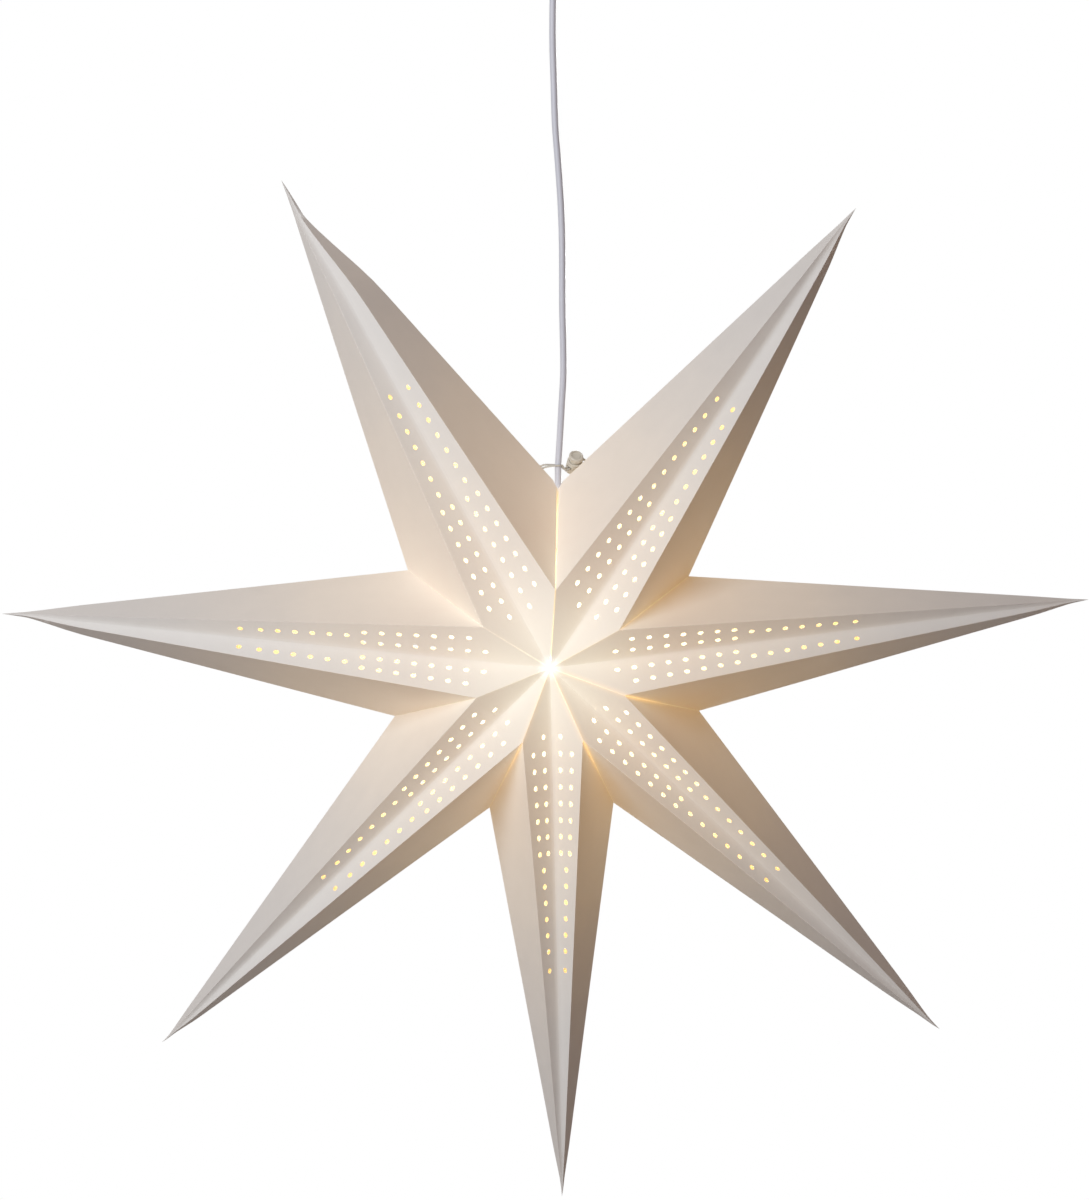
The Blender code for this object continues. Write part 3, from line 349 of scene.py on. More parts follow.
def finished(name, shape, paint, body, nodes=(), sharp=None):
    """Turn a bmesh into a named piece that rides on a body and stands for its CAD nodes."""
    mesh = bpy.data.meshes.new(name)
    shape.to_mesh(mesh)
    shape.free()
    mesh.materials.append(paint)
    mesh.shade_smooth()
    if sharp is not None:
        mesh.set_sharp_from_angle(angle=sharp)
    piece = bpy.data.objects.new(name, mesh)
    bpy.context.collection.objects.link(piece)
    if body:
        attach(piece, body)
    if nodes:
        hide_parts(*nodes)
    return piece


def smooth_route(route, step):
    """Points at a steady step on a smooth curve through a route's own points."""
    route = [Vector(point) for point in route]
    padded = [route[0] * 2 - route[1]] + route + [route[-1] * 2 - route[-2]]
    points = [route[0]]
    for before, start, end, after in zip(padded, padded[1:], padded[2:], padded[3:]):
        count = max(1, round((end - start).length / step))
        for number in range(1, count + 1):
            share = number / count
            points.append(
                (
                    start * 2
                    + (end - before) * share
                    + (before * 2 - start * 5 + end * 4 - after) * share**2
                    + (start * 3 - end * 3 + after - before) * share**3
                )
                / 2
            )
    return points


def route_frames(points, side=Vector((1, 0, 0))):
    """A matrix at each point of a route: +Z along it, turning as little as it can."""
    frames = []
    for before, point, after in zip([points[0]] + points, points, points[1:] + [points[-1]]):
        along = (after - before).normalized()
        side = (side - along * side.dot(along)).normalized()
        matrix = Matrix((side, along.cross(side), along)).transposed().to_4x4()
        matrix.translation = point
        frames.append(matrix)
    return frames


def add_tube(shape, points, radius, sides=12):
    """A closed round tube along a route. The layer 'run' holds the metres along it, 'turn' the place round it."""
    run_layer = shape.verts.layers.float.get("run") or shape.verts.layers.float.new("run")
    turn_layer = shape.verts.layers.float_vector.get("turn") or shape.verts.layers.float_vector.new("turn")
    frames = route_frames(points)
    run = 0.0
    before = None
    for number, matrix in enumerate(frames):
        if number:
            run += (points[number] - points[number - 1]).length
        ends = number in (0, len(frames) - 1)
        ring = bmesh.ops.create_circle(shape, cap_ends=ends, segments=sides, radius=radius, matrix=matrix)["verts"]
        flat = matrix.inverted()
        for corner in ring:
            around = flat @ corner.co
            corner[run_layer] = run
            corner[turn_layer] = (around.x / radius, around.y / radius, 0)
        edges = list({edge for corner in ring for edge in corner.link_edges})
        if before:
            bmesh.ops.bridge_loops(shape, edges=before + edges)
        before = edges
    bmesh.ops.recalc_face_normals(shape, faces=shape.faces)
    return run


print("piece helpers ready")

# %% [markdown]
# ## The cord
# A round lamp cord with a smooth pale sheath hangs from the grip in the ceiling cup. The star's weight pulls
# it down, but the sheath keeps a slight set from its coil, so it runs in a faint bow. The line follows
# the same points as in the CAD model. The sheath shows soft lengthwise lines and tiny dents in its gloss.

# %% Cord's route
GRIP_MOUTH = Vector((0, 0, -0.0668))
LAMP_X = 0.0049
CORD_STEP, CORD_SIDES = 0.004, 24
CORD_POINTS = (
    # from the grip down to the holder: sideways, up
    (0.0, -0.0671), (0.0, -0.0791), (-0.0002, -0.1201), (0.0009, -0.1571),
    (0.0021, -0.1941), (0.0049, -0.2311), (0.0074, -0.2681), (0.0086, -0.3051),
    (0.0088, -0.3606), (0.0098, -0.4161), (0.0081, -0.4531), (0.0060, -0.4901),
    (0.0050, -0.5060), (0.0049, -0.5197), (0.0049, -0.5727), (0.0049, -0.5847),
)
cord_route = smooth_route([(across, 0, up) for across, up in CORD_POINTS], CORD_STEP)
cord_route.reverse()
cord_shape = bmesh.new()
cord_length = add_tube(cord_shape, cord_route, CORD_RADIUS, CORD_SIDES)
print("cord length", round(cord_length, 4))

# %% Cord's finish
def place_on_tube(tree, radius, stretch):
    """A place on a tube from its own layers, drawn out along the tube, so a grain there becomes lines."""
    turn = {"Vector": attribute(tree, "turn")["Vector"], "Scale": radius}
    spot = add_node(tree, "VectorMath", turn.items(), operation="SCALE").outputs["Vector"]
    run = times(tree, attribute(tree, "run")["Fac"], stretch)
    along = add_node(tree, "CombineXYZ", [("Z", run)]).outputs["Vector"]
    return calculate_vector(tree, "ADD", spot, along)


cord_paint, tree, inputs = new_finish("white_cord_sheath", (0.62, 0.63, 0.69), 0.42)
lines = grain(tree, place_on_tube(tree, CORD_RADIUS, 0.06), 1400, 2)
dents = grain(tree, object_place(tree), 420, 2)
clouds = grain(tree, object_place(tree), 30, 2)
tree.links.new(mix(tree, clouds, (0.62, 0.64, 0.72), (0.70, 0.72, 0.79)), inputs["Base Color"])
tree.links.new(rescale(tree, clouds, 0.3, 0.7, 0.36, 0.5), inputs["Roughness"])
raise_surface(tree, inputs, calculate(tree, "ADD", lines, times(tree, dents, 0.6)), 0.00006)

cord = finished("lamp_cord", cord_shape, cord_paint, None, sharp=math.radians(50))
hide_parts("cord")
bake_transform(cord, "grip", "pendant", start=GRIP_MOUTH, end=(0, 0, -0.125))
print("cord faces", len(cord.data.polygons))

# %% [markdown]
# ## How the lamp lights the paper
# The lantern is lit from inside. Paper lets a warm part of that light through. It is strongest where the paper
# is near the bulb and square to its light, and it fades with the square of the distance. The group below works
# that out from the surface's place and normal, and the paper paints it into its emission colour as painted
# light: one value for a face that has the bulb behind it, and one for an inner face that looks at the bulb. A
# third is the distance from the star's middle axis, where all the seams meet and a small white burst of light is
# painted. The last marks the side panels beside the seams of the lower right pages, where a golden glow is
# painted along them. The painted glow is also dimmed on the faces that are turned up to the left, towards the key
# lamp: painted shade on the lit faces.

# %% Lamp light group
LAMP_PLACE = Vector((LAMP_X, 0, -0.6814))
LAMP_REACH = 0.097
PAINTED_LEAK_SIDE = (0.64, 0.0, -0.77)
KEY_LAMP_SIDE = (-0.463, -0.795, 0.390)

lamp_light, start, end = shared_group(
    "lamp_light",
    [("Reach", "NodeSocketFloat", LAMP_REACH)],
    [(label, "NodeSocketFloat") for label in ("Through", "Direct", "Middle", "Painted_leak")],
)
surface = add_node(lamp_light, "TexCoord").outputs
to_lamp = calculate_vector(lamp_light, "SUBTRACT", LAMP_PLACE, surface["Object"])
far = calculate_vector(lamp_light, "LENGTH", to_lamp, output="Value")
facing = calculate_vector(
    lamp_light, "DOT_PRODUCT", surface["Normal"], calculate_vector(lamp_light, "NORMALIZE", to_lamp), output="Value"
)
near = calculate(lamp_light, "POWER", calculate(lamp_light, "DIVIDE", start["Reach"], far), 2.0)
behind = calculate(lamp_light, "MAXIMUM", times(lamp_light, facing, -1.0), 0.0)
before = calculate(lamp_light, "MAXIMUM", facing, 0.0)
# Painted shade: the glow is dimmed on faces turned towards the key lamp.
key_lamp_facing = calculate_vector(lamp_light, "DOT_PRODUCT", surface["Normal"], KEY_LAMP_SIDE, output="Value")
shown = times(lamp_light, near, rescale(lamp_light, key_lamp_facing, 0.6, 0.95, 1.0, 0.5))
lamp_light.links.new(times(lamp_light, behind, shown), end["Through"])
lamp_light.links.new(times(lamp_light, before, near), end["Direct"])
from_axis = calculate_vector(lamp_light, "SUBTRACT", surface["Object"], STAR_CENTRE)
from_axis = calculate_vector(lamp_light, "MULTIPLY", from_axis, (1.0, 0.0, 1.0))
middle = calculate_vector(lamp_light, "LENGTH", from_axis, output="Value")
lamp_light.links.new(middle, end["Middle"])
# Painted light: a golden glow beside the seams of the lower right pages.
painted_leak_side = calculate_vector(
    lamp_light, "DOT_PRODUCT", calculate_vector(lamp_light, "NORMALIZE", from_axis), PAINTED_LEAK_SIDE, output="Value"
)
painted_leak_side = rescale(lamp_light, painted_leak_side, -0.1, 0.9)
painted_leak = times(lamp_light, painted_leak_side, rescale(lamp_light, middle, 0.125, 0.075))
lamp_light.links.new(painted_leak, end["Painted_leak"])
print("lamp light group:", len(lamp_light.nodes), "nodes")

# %% [markdown]
# ## The paper
# White card with a fine felt of fibres. The map 'folds' holds each panel's distance to its own folds in
# metres, and 'pages' the distance to the glued page and how much of the lamp's painted glow the sheet gets there:
# the gussets get less than the sides. Round the star's middle a wide soft halo of painted light stands for the
# light that comes back from all the inner walls. Along a fold a thin paler line is painted in the base colour:
# partly the broken fibres of the crease, partly a painted highlight where the rounded fold catches the light.
# Round each punched hole a little yellow glow is painted, lit by the lamp's light coming through.

# %% Paper finish
PAPER_COLOUR = (0.82, 0.81, 0.785)
CREASE_AND_HIGHLIGHT_COLOUR = (0.92, 0.90, 0.88)
FOLD_LINE = 0.0007
HALO_REACH, BURST_REACH = 0.13, 0.014
PAINTED_LEAK_COLOUR = (0.30, 0.13, 0.0)

paper_paint, tree, inputs = new_finish("white_paper", PAPER_COLOUR, 0.85)
inputs["Specular IOR Level"].default_value = 0.25
to_ridge, to_valley = map_values(tree, "folds")
to_page, thin = map_values(tree, "pages")
punched = attribute(tree, "punched")["Fac"]

place = object_place(tree)
fibres = grain(tree, place, 2600, 3, 0.7)
felt = grain(tree, place, 420, 3, 0.6)
clouds = grain(tree, place, 38, 3, 0.6)
# A thin paler line along the folds: partly the crease's broken fibres, partly a painted highlight.
crease_and_highlight_mask = rescale(tree, to_ridge, 0, FOLD_LINE, 1, 0)
panel_width = calculate(tree, "ADD", to_ridge, to_valley)
crease_and_highlight_mask = times(tree, crease_and_highlight_mask, rescale(tree, panel_width, 0.004, 0.014))
page_mask = rescale(tree, to_page, 0, FOLD_LINE, 1, 0)
tone = mix(tree, clouds, (0.79, 0.785, 0.76), (0.84, 0.835, 0.81))
tone = mix(tree, times(tree, fibres, 0.25), tone, (0.89, 0.875, 0.85))
tone = mix(tree, times(tree, crease_and_highlight_mask, 0.7), tone, CREASE_AND_HIGHLIGHT_COLOUR)
tree.links.new(tone, inputs["Base Color"])
tree.links.new(rescale(tree, felt, 0.3, 0.7, 0.8, 0.92), inputs["Roughness"])

# Painted light: the lamp's light through the paper and on its inner faces, painted into the emission colour.
light = use_group(tree, lamp_light)
cloudy = calculate(tree, "MULTIPLY_ADD", clouds, 0.3, 0.85)
through = times(tree, light["Through"], cloudy)
through = times(tree, through, thin)
transmitted = colour_ramp(
    tree,
    through,
    [
        (0.0, (0.0, 0.0, 0.0)),
        (0.01, (0.02, 0.012, 0.004)),
        (0.02, (0.055, 0.032, 0.008)),
        (0.05, (0.12, 0.07, 0.018)),
        (0.13, (0.16, 0.09, 0.022)),
        (0.3, (0.2, 0.11, 0.03)),
        (1.0, (0.26, 0.16, 0.05)),
    ],
)
direct = colour_ramp(
    tree,
    times(tree, light["Direct"], 2.0, clamp=True),
    [(0.0, (0.0, 0.0, 0.0)), (0.08, (0.45, 0.25, 0.07)), (0.3, (0.6, 0.42, 0.17)), (1.0, (0.85, 0.72, 0.48))],
)
glow = mix(tree, 1.0, transmitted, direct, "ADD")
# Painted light: a warm halo round the star's middle and a small white burst where the seams meet.
halo = rescale(tree, light["Middle"], 0, HALO_REACH, 1, 0)
glow = mix(tree, times(tree, halo, thin), glow, (0.17, 0.205, 0.18), "ADD")
burst = rescale(tree, light["Middle"], 0, BURST_REACH, 1, 0)
glow = mix(tree, burst, glow, (0.3, 0.35, 0.4), "ADD")
# Painted light: a glow along the glued seams.
seam_glow = times(tree, page_mask, rescale(tree, light["Through"], 0.02, 0.9), clamp=True)
glow = mix(tree, seam_glow, glow, (0.3, 0.25, 0.15), "ADD")
# Painted light: the golden glow beside the seams of the lower right pages.
painted_leak = times(tree, rescale(tree, to_page, 0, 0.005, 1, 0), light["Painted_leak"])
painted_leak = times(tree, painted_leak, rescale(tree, thin, 0.7, 0.9))
glow = mix(tree, painted_leak, glow, PAINTED_LEAK_COLOUR, "ADD")
# Painted light: a yellow glow round each punched hole's rim.
hole_glow = rescale(tree, light["Through"], 0.0, 0.35, 0.35, 1.0)
hole_glow = times(tree, punched, hole_glow)
glow = mix(tree, hole_glow, glow, (0.10, 0.07, 0.02), "ADD")
tree.links.new(glow, inputs["Emission Color"])
inputs["Emission Strength"].default_value = 1.0
height = calculate(tree, "ADD", times(tree, fibres, 0.4), felt)
raise_surface(tree, inputs, height, 0.0001, 0.5)
print("paper nodes", len(tree.nodes))

# %% [markdown]
# ## The star's points
# Each point is folded from one sheet: on the front and on the back two long gusset panels meet in a valley, and
# a side panel falls from each ridge to the outer fold. Narrow flaps turn in where the point is glued to its
# neighbours. The gusset panels are punched: one round hole, then seven pairs, then seven single holes, the last
# one a little apart. The rows start at another place on each point. A panel is drawn flat as an outline with
# circles, filled between them, and laid in its place.


# %% Pages of the star
def page_gaps(page):
    """Half the gap between two points at a page, at its ridge and at its notch. The cord passes the top one."""
    if page == 0:
        return TOP_SLIT / 2, CORD_RADIUS + TOP_CLEARANCE
    return FIT_GAP / 2, FIT_GAP / 2


def crossing(start, end, other_start, other_end):
    """Where two lines in a page meet, each given by two (reach, depth) places."""
    run = (end[0] - start[0], end[1] - start[1])
    other = (other_end[0] - other_start[0], other_end[1] - other_start[1])
    away = (other_start[0] - start[0], other_start[1] - start[1])
    share = (away[0] * other[1] - away[1] * other[0]) / (run[0] * other[1] - run[1] * other[0])
    return start[0] + run[0] * share, start[1] + run[1] * share


def inset(start, end):
    """An edge of a page moved into the page by the flap's width."""
    run = Vector((end[0] - start[0], end[1] - start[1])).normalized()
    shift = (-run.y * FLAP_WIDTH, run.x * FLAP_WIDTH)
    return (start[0] + shift[0], start[1] + shift[1]), (end[0] + shift[0], end[1] + shift[1])


def centre_corner(left, right):
    """Where a point's two pages meet beside the star's middle."""
    left_gap, right_gap = page_gaps(left)[0], page_gaps(right)[0]
    a, b = clockwise(PAGE_ANGLES[left]), -clockwise(PAGE_ANGLES[right])
    area = a.x * b.z - a.z * b.x
    return Vector(((left_gap * b.z - a.z * right_gap) / area, 0, (a.x * right_gap - b.x * left_gap) / area))


def page_side(page, side):
    """One side of a page's front half: its ridge, its notch and its flap's inner rim."""
    ridge_gap, notch_gap = page_gaps(page)
    reach = TOP_NOTCH_RADIUS if page == 0 else NOTCH_RADIUS
    centre, ridge, notch = (0, -CENTRE_DEPTH), (RIDGE_RADIUS, -RIDGE_DEPTH), (reach, 0)
    upper, lower = inset(centre, ridge), inset(ridge, notch)
    spots = {
        "ridge": (ridge, ridge_gap),
        "notch": (notch, notch_gap),
        "rim_start": (crossing(*upper, (FLAP_WIDTH, 0), (FLAP_WIDTH, -RIDGE_DEPTH)), ridge_gap),
        "rim_ridge": (crossing(*upper, *lower), ridge_gap),
        "rim_notch": (crossing(*lower, (0, 0), (reach, 0)), notch_gap),
    }
    out, across = outward(PAGE_ANGLES[page]), clockwise(PAGE_ANGLES[page]) * side
    return {
        name: STAR_CENTRE + out * spot[0] + Vector((0, spot[1], 0)) + across * gap
        for name, (spot, gap) in spots.items()
    }


def throat_corner(tip, ridge, notch):
    """Where the top seam draws together again in front of the cord, in the plane of a top side panel."""
    spot = notch.lerp(ridge, THROAT_SHARE)
    seam = clockwise(PAGE_ANGLES[0])
    level = (ridge - notch).cross(tip - notch)
    across = (ridge - notch).cross(level).normalized()
    away = (spot - STAR_CENTRE).dot(seam)
    return spot + across * (math.copysign(THROAT_GAP, away) - away) / across.dot(seam)


def mirrored(place, half):
    """A place on the star's front, or the same place on its back."""
    return Vector((place.x, place.y * half, place.z))


print("page 0 notch:", [round(c, 4) for c in page_side(0, 1)["notch"]])

# %% Punched panels
HOLE_RADIUS = 0.0025
HOLE_WIDTH = 0.76
HOLE_RIM = 0.0007
HOLE_SIDES = 16
HOLE_STARTS = (0.0574, 0.0612, 0.0603, 0.0625, 0.0634, 0.0623, 0.0588)
LAST_HOLE_EXTRA = 0.003
HOLE_STEP = 0.0157
HOLE_ROWS = 15
PAIR_ROWS = range(1, 8)
INNER_SHARE, OUTER_SHARE, SINGLE_SHARE = 0.28, 0.66, 0.52
FINE_REACH = 0.06
GUSSET_THIN, SIDE_THIN, FLAP_THIN = 0.80, 1.0, 0.6
DRAWING_SCALE = 1000
SLIVER = 0.04
VALLEY_WIDTH = 0.0032


def cut_lines(shape, place, normal, faces=None):
    """Cut a shape's faces along a plane."""
    faces = list(shape.faces) if faces is None else faces
    edges = {edge for face in faces for edge in face.edges}
    corners = {corner for face in faces for corner in face.verts}
    geometry = list(corners) + list(edges) + list(faces)
    bmesh.ops.bisect_plane(shape, geom=geometry, dist=MERGE_DISTANCE, plane_co=place, plane_no=normal)


def line_distance(place, start, end):
    """How far a place is from the line through two others."""
    run = (end - start).normalized()
    return (place - start).cross(run).length


def hole_places(tip, centre, ridge, out, start):
    """The middles of a gusset panel's holes, from the star's middle outwards."""
    places = []
    for row in range(HOLE_ROWS):
        reach = start + HOLE_STEP * row + (LAST_HOLE_EXTRA if row == HOLE_ROWS - 1 else 0)
        valley = on_reach(centre, tip, reach, out)
        edge = on_reach(ridge, tip, reach, out)
        shares = (INNER_SHARE,) if row == 0 else (INNER_SHARE, OUTER_SHARE) if row in PAIR_ROWS else (SINGLE_SHARE,)
        places += [valley.lerp(edge, share) for share in shares]
    return places


def on_reach(start, end, reach, out):
    """The point of a line at a given reach from the star's middle along a point's axis."""
    first, last = (start - STAR_CENTRE).dot(out), (end - STAR_CENTRE).dot(out)
    return start.lerp(end, (reach - first) / (last - first))


def punch(shape, band, flat, holes):
    """Fill a flat band of paper again, round the rims of its punched holes."""
    edges = list(band.edges)
    bmesh.ops.delete(shape, geom=[band], context="FACES_ONLY")
    for hole in holes:
        spot = Matrix.Translation(hole * DRAWING_SCALE) @ flat
        rings = []
        for radius in (HOLE_RADIUS, HOLE_RADIUS + HOLE_RIM):
            drawn = radius * DRAWING_SCALE
            oval = spot @ Matrix.Diagonal((1, HOLE_WIDTH, 1, 1))
            ring = bmesh.ops.create_circle(shape, segments=HOLE_SIDES, radius=drawn, matrix=oval)["verts"]
            rings.append(list({edge for corner in ring for edge in corner.link_edges}))
            for corner in ring:
                corner[shape.verts.layers.float["punched"]] = float(radius == HOLE_RADIUS)
        bmesh.ops.bridge_loops(shape, edges=rings[0] + rings[1])
        edges += rings[1]
    bmesh.ops.triangle_fill(shape, use_beauty=True, edges=edges, normal=flat.col[2].to_3d())


def add_panel(shape, corners, thin, holes=(), out=None, start=0, folds=None, page=None):
    """A flat panel laid on its corners, with rows of punched holes and maps of the distances to its folds."""
    old = set(shape.faces)
    face = shape.faces.new([shape.verts.new(corner * DRAWING_SCALE) for corner in corners])
    face.normal_update()
    run = (corners[1] - corners[0]).normalized()
    flat = Matrix((run, face.normal.cross(run), face.normal.copy())).transposed().to_4x4()
    if holes:
        for row in range(HOLE_ROWS + 1):
            bands = [face for face in shape.faces if face not in old]
            edge = STAR_CENTRE + out * (start + HOLE_STEP * (row - 0.5))
            cut_lines(shape, edge * DRAWING_SCALE, out, bands)
        for band in [face for face in shape.faces if face not in old]:
            reaches = [(corner.co / DRAWING_SCALE - STAR_CENTRE).dot(out) for corner in band.verts]
            inside = [hole for hole in holes if min(reaches) < (hole - STAR_CENTRE).dot(out) < max(reaches)]
            if inside:
                punch(shape, band, flat, inside)
    fold_map, page_map = shape.loops.layers.uv["folds"], shape.loops.layers.uv["pages"]
    for face in set(shape.faces) - old:
        for loop in face.loops:
            spot = loop.vert.co / DRAWING_SCALE
            loop[fold_map].uv = [line_distance(spot, *line) for line in folds] if folds else (1, 1)
            loop[page_map].uv = (line_distance(spot, *page) if page else 1, thin)


print("holes on a gusset panel:", 1 + 2 * len(PAIR_ROWS) + HOLE_ROWS - 1 - len(PAIR_ROWS))

# %% [markdown]
# The sheet isn't as stiff as a solid: near its end each point is pressed flat by the fingers that folded it, and
# ends in a thin tongue, some of them bent. The sheet eases back to its full width behind the tongue. The valleys
# are soft folds, so they are rounded over a few millimetres. The long panels also have a faint wave.

# %% Soft forms of the paper
TONGUES = (
    # length, width kept, depth kept, edge that stays straight (-1 anticlockwise), sideways bend, bend to the viewer
    (0.038, 0.50, 0.40, -1.0, -0.0012, 0.002),
    (0.018, 0.75, 0.5, -0.5, 0.0005, -0.001),
    (0.016, 0.75, 0.5, -0.5, 0.0, 0.001),
    (0.018, 0.75, 0.5, 0.0, -0.0008, -0.002),
    (0.016, 0.80, 0.5, 0.0, 0.0006, 0.001),
    (0.012, 0.60, 0.5, 0.5, 0.0010, -0.002),
    (0.022, 0.60, 0.5, 0.5, 0.0, 0.001),
)
OUTLINE_SLOPE = 0.193
TIP_WALL = 0.2
TIP_THINNING = 0.06
PRESS_RUN = 3.5
VALLEY_START, VALLEY_FULL = 0.004, 0.03
WAVE_LENGTH = 0.09
WAVE_HEIGHT = 0.0007
WAVE_START, WAVE_FULL = 0.01, 0.06
SHARP_FOLD = math.radians(28)


def smooth_step(value, low, high):
    """A smooth step from 0 at low to 1 at high."""
    share = min(1, max(0, (value - low) / (high - low)))
    return share * share * (3 - 2 * share)


def soften(shape, number, slopes):
    """Round a point's valleys, press its tongue and give its panels a faint wave."""
    out, side, tip_reach = outward(TIP_ANGLES[number]), clockwise(TIP_ANGLES[number]), TIP_REACHES[number]
    length, width_kept, depth_kept, straight, bend, lean = TONGUES[number]
    for corner in shape.verts:
        spot = corner.co - STAR_CENTRE
        reach, across, depth = spot.dot(out), spot.dot(side), spot.y
        valley = CENTRE_DEPTH * (1 - reach / tip_reach)
        slope = slopes[across > 0]
        if abs(across) < VALLEY_WIDTH and abs(abs(depth) - valley) < VALLEY_WIDTH * slope + FIT_GAP:
            rise = slope * (VALLEY_WIDTH - abs(across)) ** 2 / (2 * VALLEY_WIDTH)
            depth += math.copysign(rise * smooth_step(reach, VALLEY_START, VALLEY_FULL), depth)
        away = max(tip_reach - reach, length)
        press = length / away * (1 - smooth_step(away, length, length * PRESS_RUN))
        across += ((tip_reach - reach) * OUTLINE_SLOPE * straight - across) * (1 - width_kept) * press
        depth *= 1 - (1 - depth_kept) * press
        end = max(0, (reach - tip_reach + length) / length)
        across += bend * end**2
        wave = noise.noise(corner.co / WAVE_LENGTH) * WAVE_HEIGHT * smooth_step(reach, WAVE_START, WAVE_FULL)
        depth += wave * (1 - press) - lean * end**2
        corner.co = STAR_CENTRE + out * reach + side * across + Vector((0, depth, 0))


print("tongues:", [round(tongue[0], 3) for tongue in TONGUES])


# %% One point of the star
def give_wall(point, reaches, tip_reach):
    """Give a point its sheet's thickness, thinner towards the tip."""
    thick = point.vertex_groups.new(name="wall")
    for index, reach in enumerate(reaches):
        thick.add([index], min(1, max(0, (tip_reach - reach) / TIP_THINNING)), "REPLACE")
    wall = point.modifiers.new("sheet", "SOLIDIFY")
    wall.thickness = PAPER_THICKNESS
    wall.offset = -1
    wall.vertex_group = "wall"
    wall.thickness_vertex_group = TIP_WALL


def paper_point(number):
    """One hollow point of the star, with its punched gussets, sides and flaps."""
    left = (number - 1) % len(PAGE_ANGLES)
    sides = {left: page_side(left, 1), number: page_side(number, -1)}
    out, across, tip_reach = outward(TIP_ANGLES[number]), clockwise(TIP_ANGLES[number]), TIP_REACHES[number]
    tip = STAR_CENTRE + out * tip_reach
    middle = STAR_CENTRE + centre_corner(left, number) - Vector((0, CENTRE_DEPTH, 0))
    shape = bmesh.new()
    shape.loops.layers.uv.new("folds")
    shape.loops.layers.uv.new("pages")
    shape.verts.layers.float.new("punched")
    slopes = {}
    for page, places in sides.items():
        ridge_spot = places["ridge"] - STAR_CENTRE
        valley = CENTRE_DEPTH * (1 - ridge_spot.dot(out) / tip_reach)
        slopes[page == number] = (RIDGE_DEPTH - valley) / abs(ridge_spot.dot(across))
        for half in FRONT_BACK:
            spot = {key: mirrored(place, half) for key, place in places.items()}
            centre, ridge, notch = mirrored(middle, half), spot["ridge"], spot["notch"]
            add_panel(
                shape,
                (centre, tip, ridge),
                GUSSET_THIN,
                hole_places(tip, centre, ridge, out, HOLE_STARTS[number]),
                out,
                HOLE_STARTS[number],
                folds=((tip, ridge), (tip, centre)),
                page=(centre, ridge),
            )
            edge = [notch]
            if page == 0:
                edge.append(throat_corner(tip, ridge, notch))
                add_panel(shape, (edge[-1], notch, spot["rim_notch"]), FLAP_THIN)
            folds = ((tip, ridge), (tip, notch))
            add_panel(shape, (ridge, tip, *edge), SIDE_THIN, folds=folds, page=(ridge, edge[-1]))
            add_panel(shape, (centre, ridge, spot["rim_ridge"], spot["rim_start"]), FLAP_THIN)
            add_panel(shape, (ridge, edge[-1], spot["rim_notch"], spot["rim_ridge"]), FLAP_THIN)
    bmesh.ops.remove_doubles(shape, verts=shape.verts, dist=MERGE_DISTANCE * DRAWING_SCALE)
    bmesh.ops.recalc_face_normals(shape, faces=shape.faces)
    foremost = min(shape.faces, key=lambda face: face.calc_center_median().y)
    if foremost.normal.y > 0:
        bmesh.ops.reverse_faces(shape, faces=shape.faces)
    reach = HOLE_STARTS[number] - HOLE_STEP / 2
    while reach < tip_reach - HOLE_STEP / 4:
        cut_lines(shape, (STAR_CENTRE + out * reach) * DRAWING_SCALE, out)
        reach += HOLE_STEP if reach < tip_reach - FINE_REACH else HOLE_STEP / 3
    for share in (-1, -0.5, 0.5, 1):
        cut_lines(shape, (STAR_CENTRE + across * VALLEY_WIDTH * share) * DRAWING_SCALE, across)
    bmesh.ops.remove_doubles(shape, verts=shape.verts, dist=SLIVER)
    bmesh.ops.dissolve_degenerate(shape, edges=shape.edges, dist=SLIVER)
    bmesh.ops.scale(shape, verts=shape.verts, vec=(1 / DRAWING_SCALE,) * 3)
    reaches = [(corner.co - STAR_CENTRE).dot(out) for corner in shape.verts]
    soften(shape, number, slopes)
    for edge in shape.edges:
        edge.smooth = edge.is_manifold and edge.calc_face_angle(math.pi) < SHARP_FOLD
    name = f"paper_point_{number + 1}"
    body = "star" if number == 4 else f"arm_{number + 1}"
    point = finished(name, shape, paper_paint, body, [f"star_point_{number + 1}"])
    give_wall(point, reaches, tip_reach)
    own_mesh(point)
    return point


# %% Fold the seven points
for number in range(len(TIP_ANGLES)):
    point = paper_point(number)
    print(point.name, "faces", len(point.data.polygons))

# %% [markdown]
# ## The tie
# The star comes folded flat and opens round its middle like a book. A doubled string then holds its first and
# last points together at the top. Both strands run from a knot behind the left point, over its fold and round the
# cord, through a small lock and on to a knot behind the right point. The string is twisted from two plies, so
# each ply is a tube wound round the strand's own line. The knots are overhand knots, drawn as a trefoil.

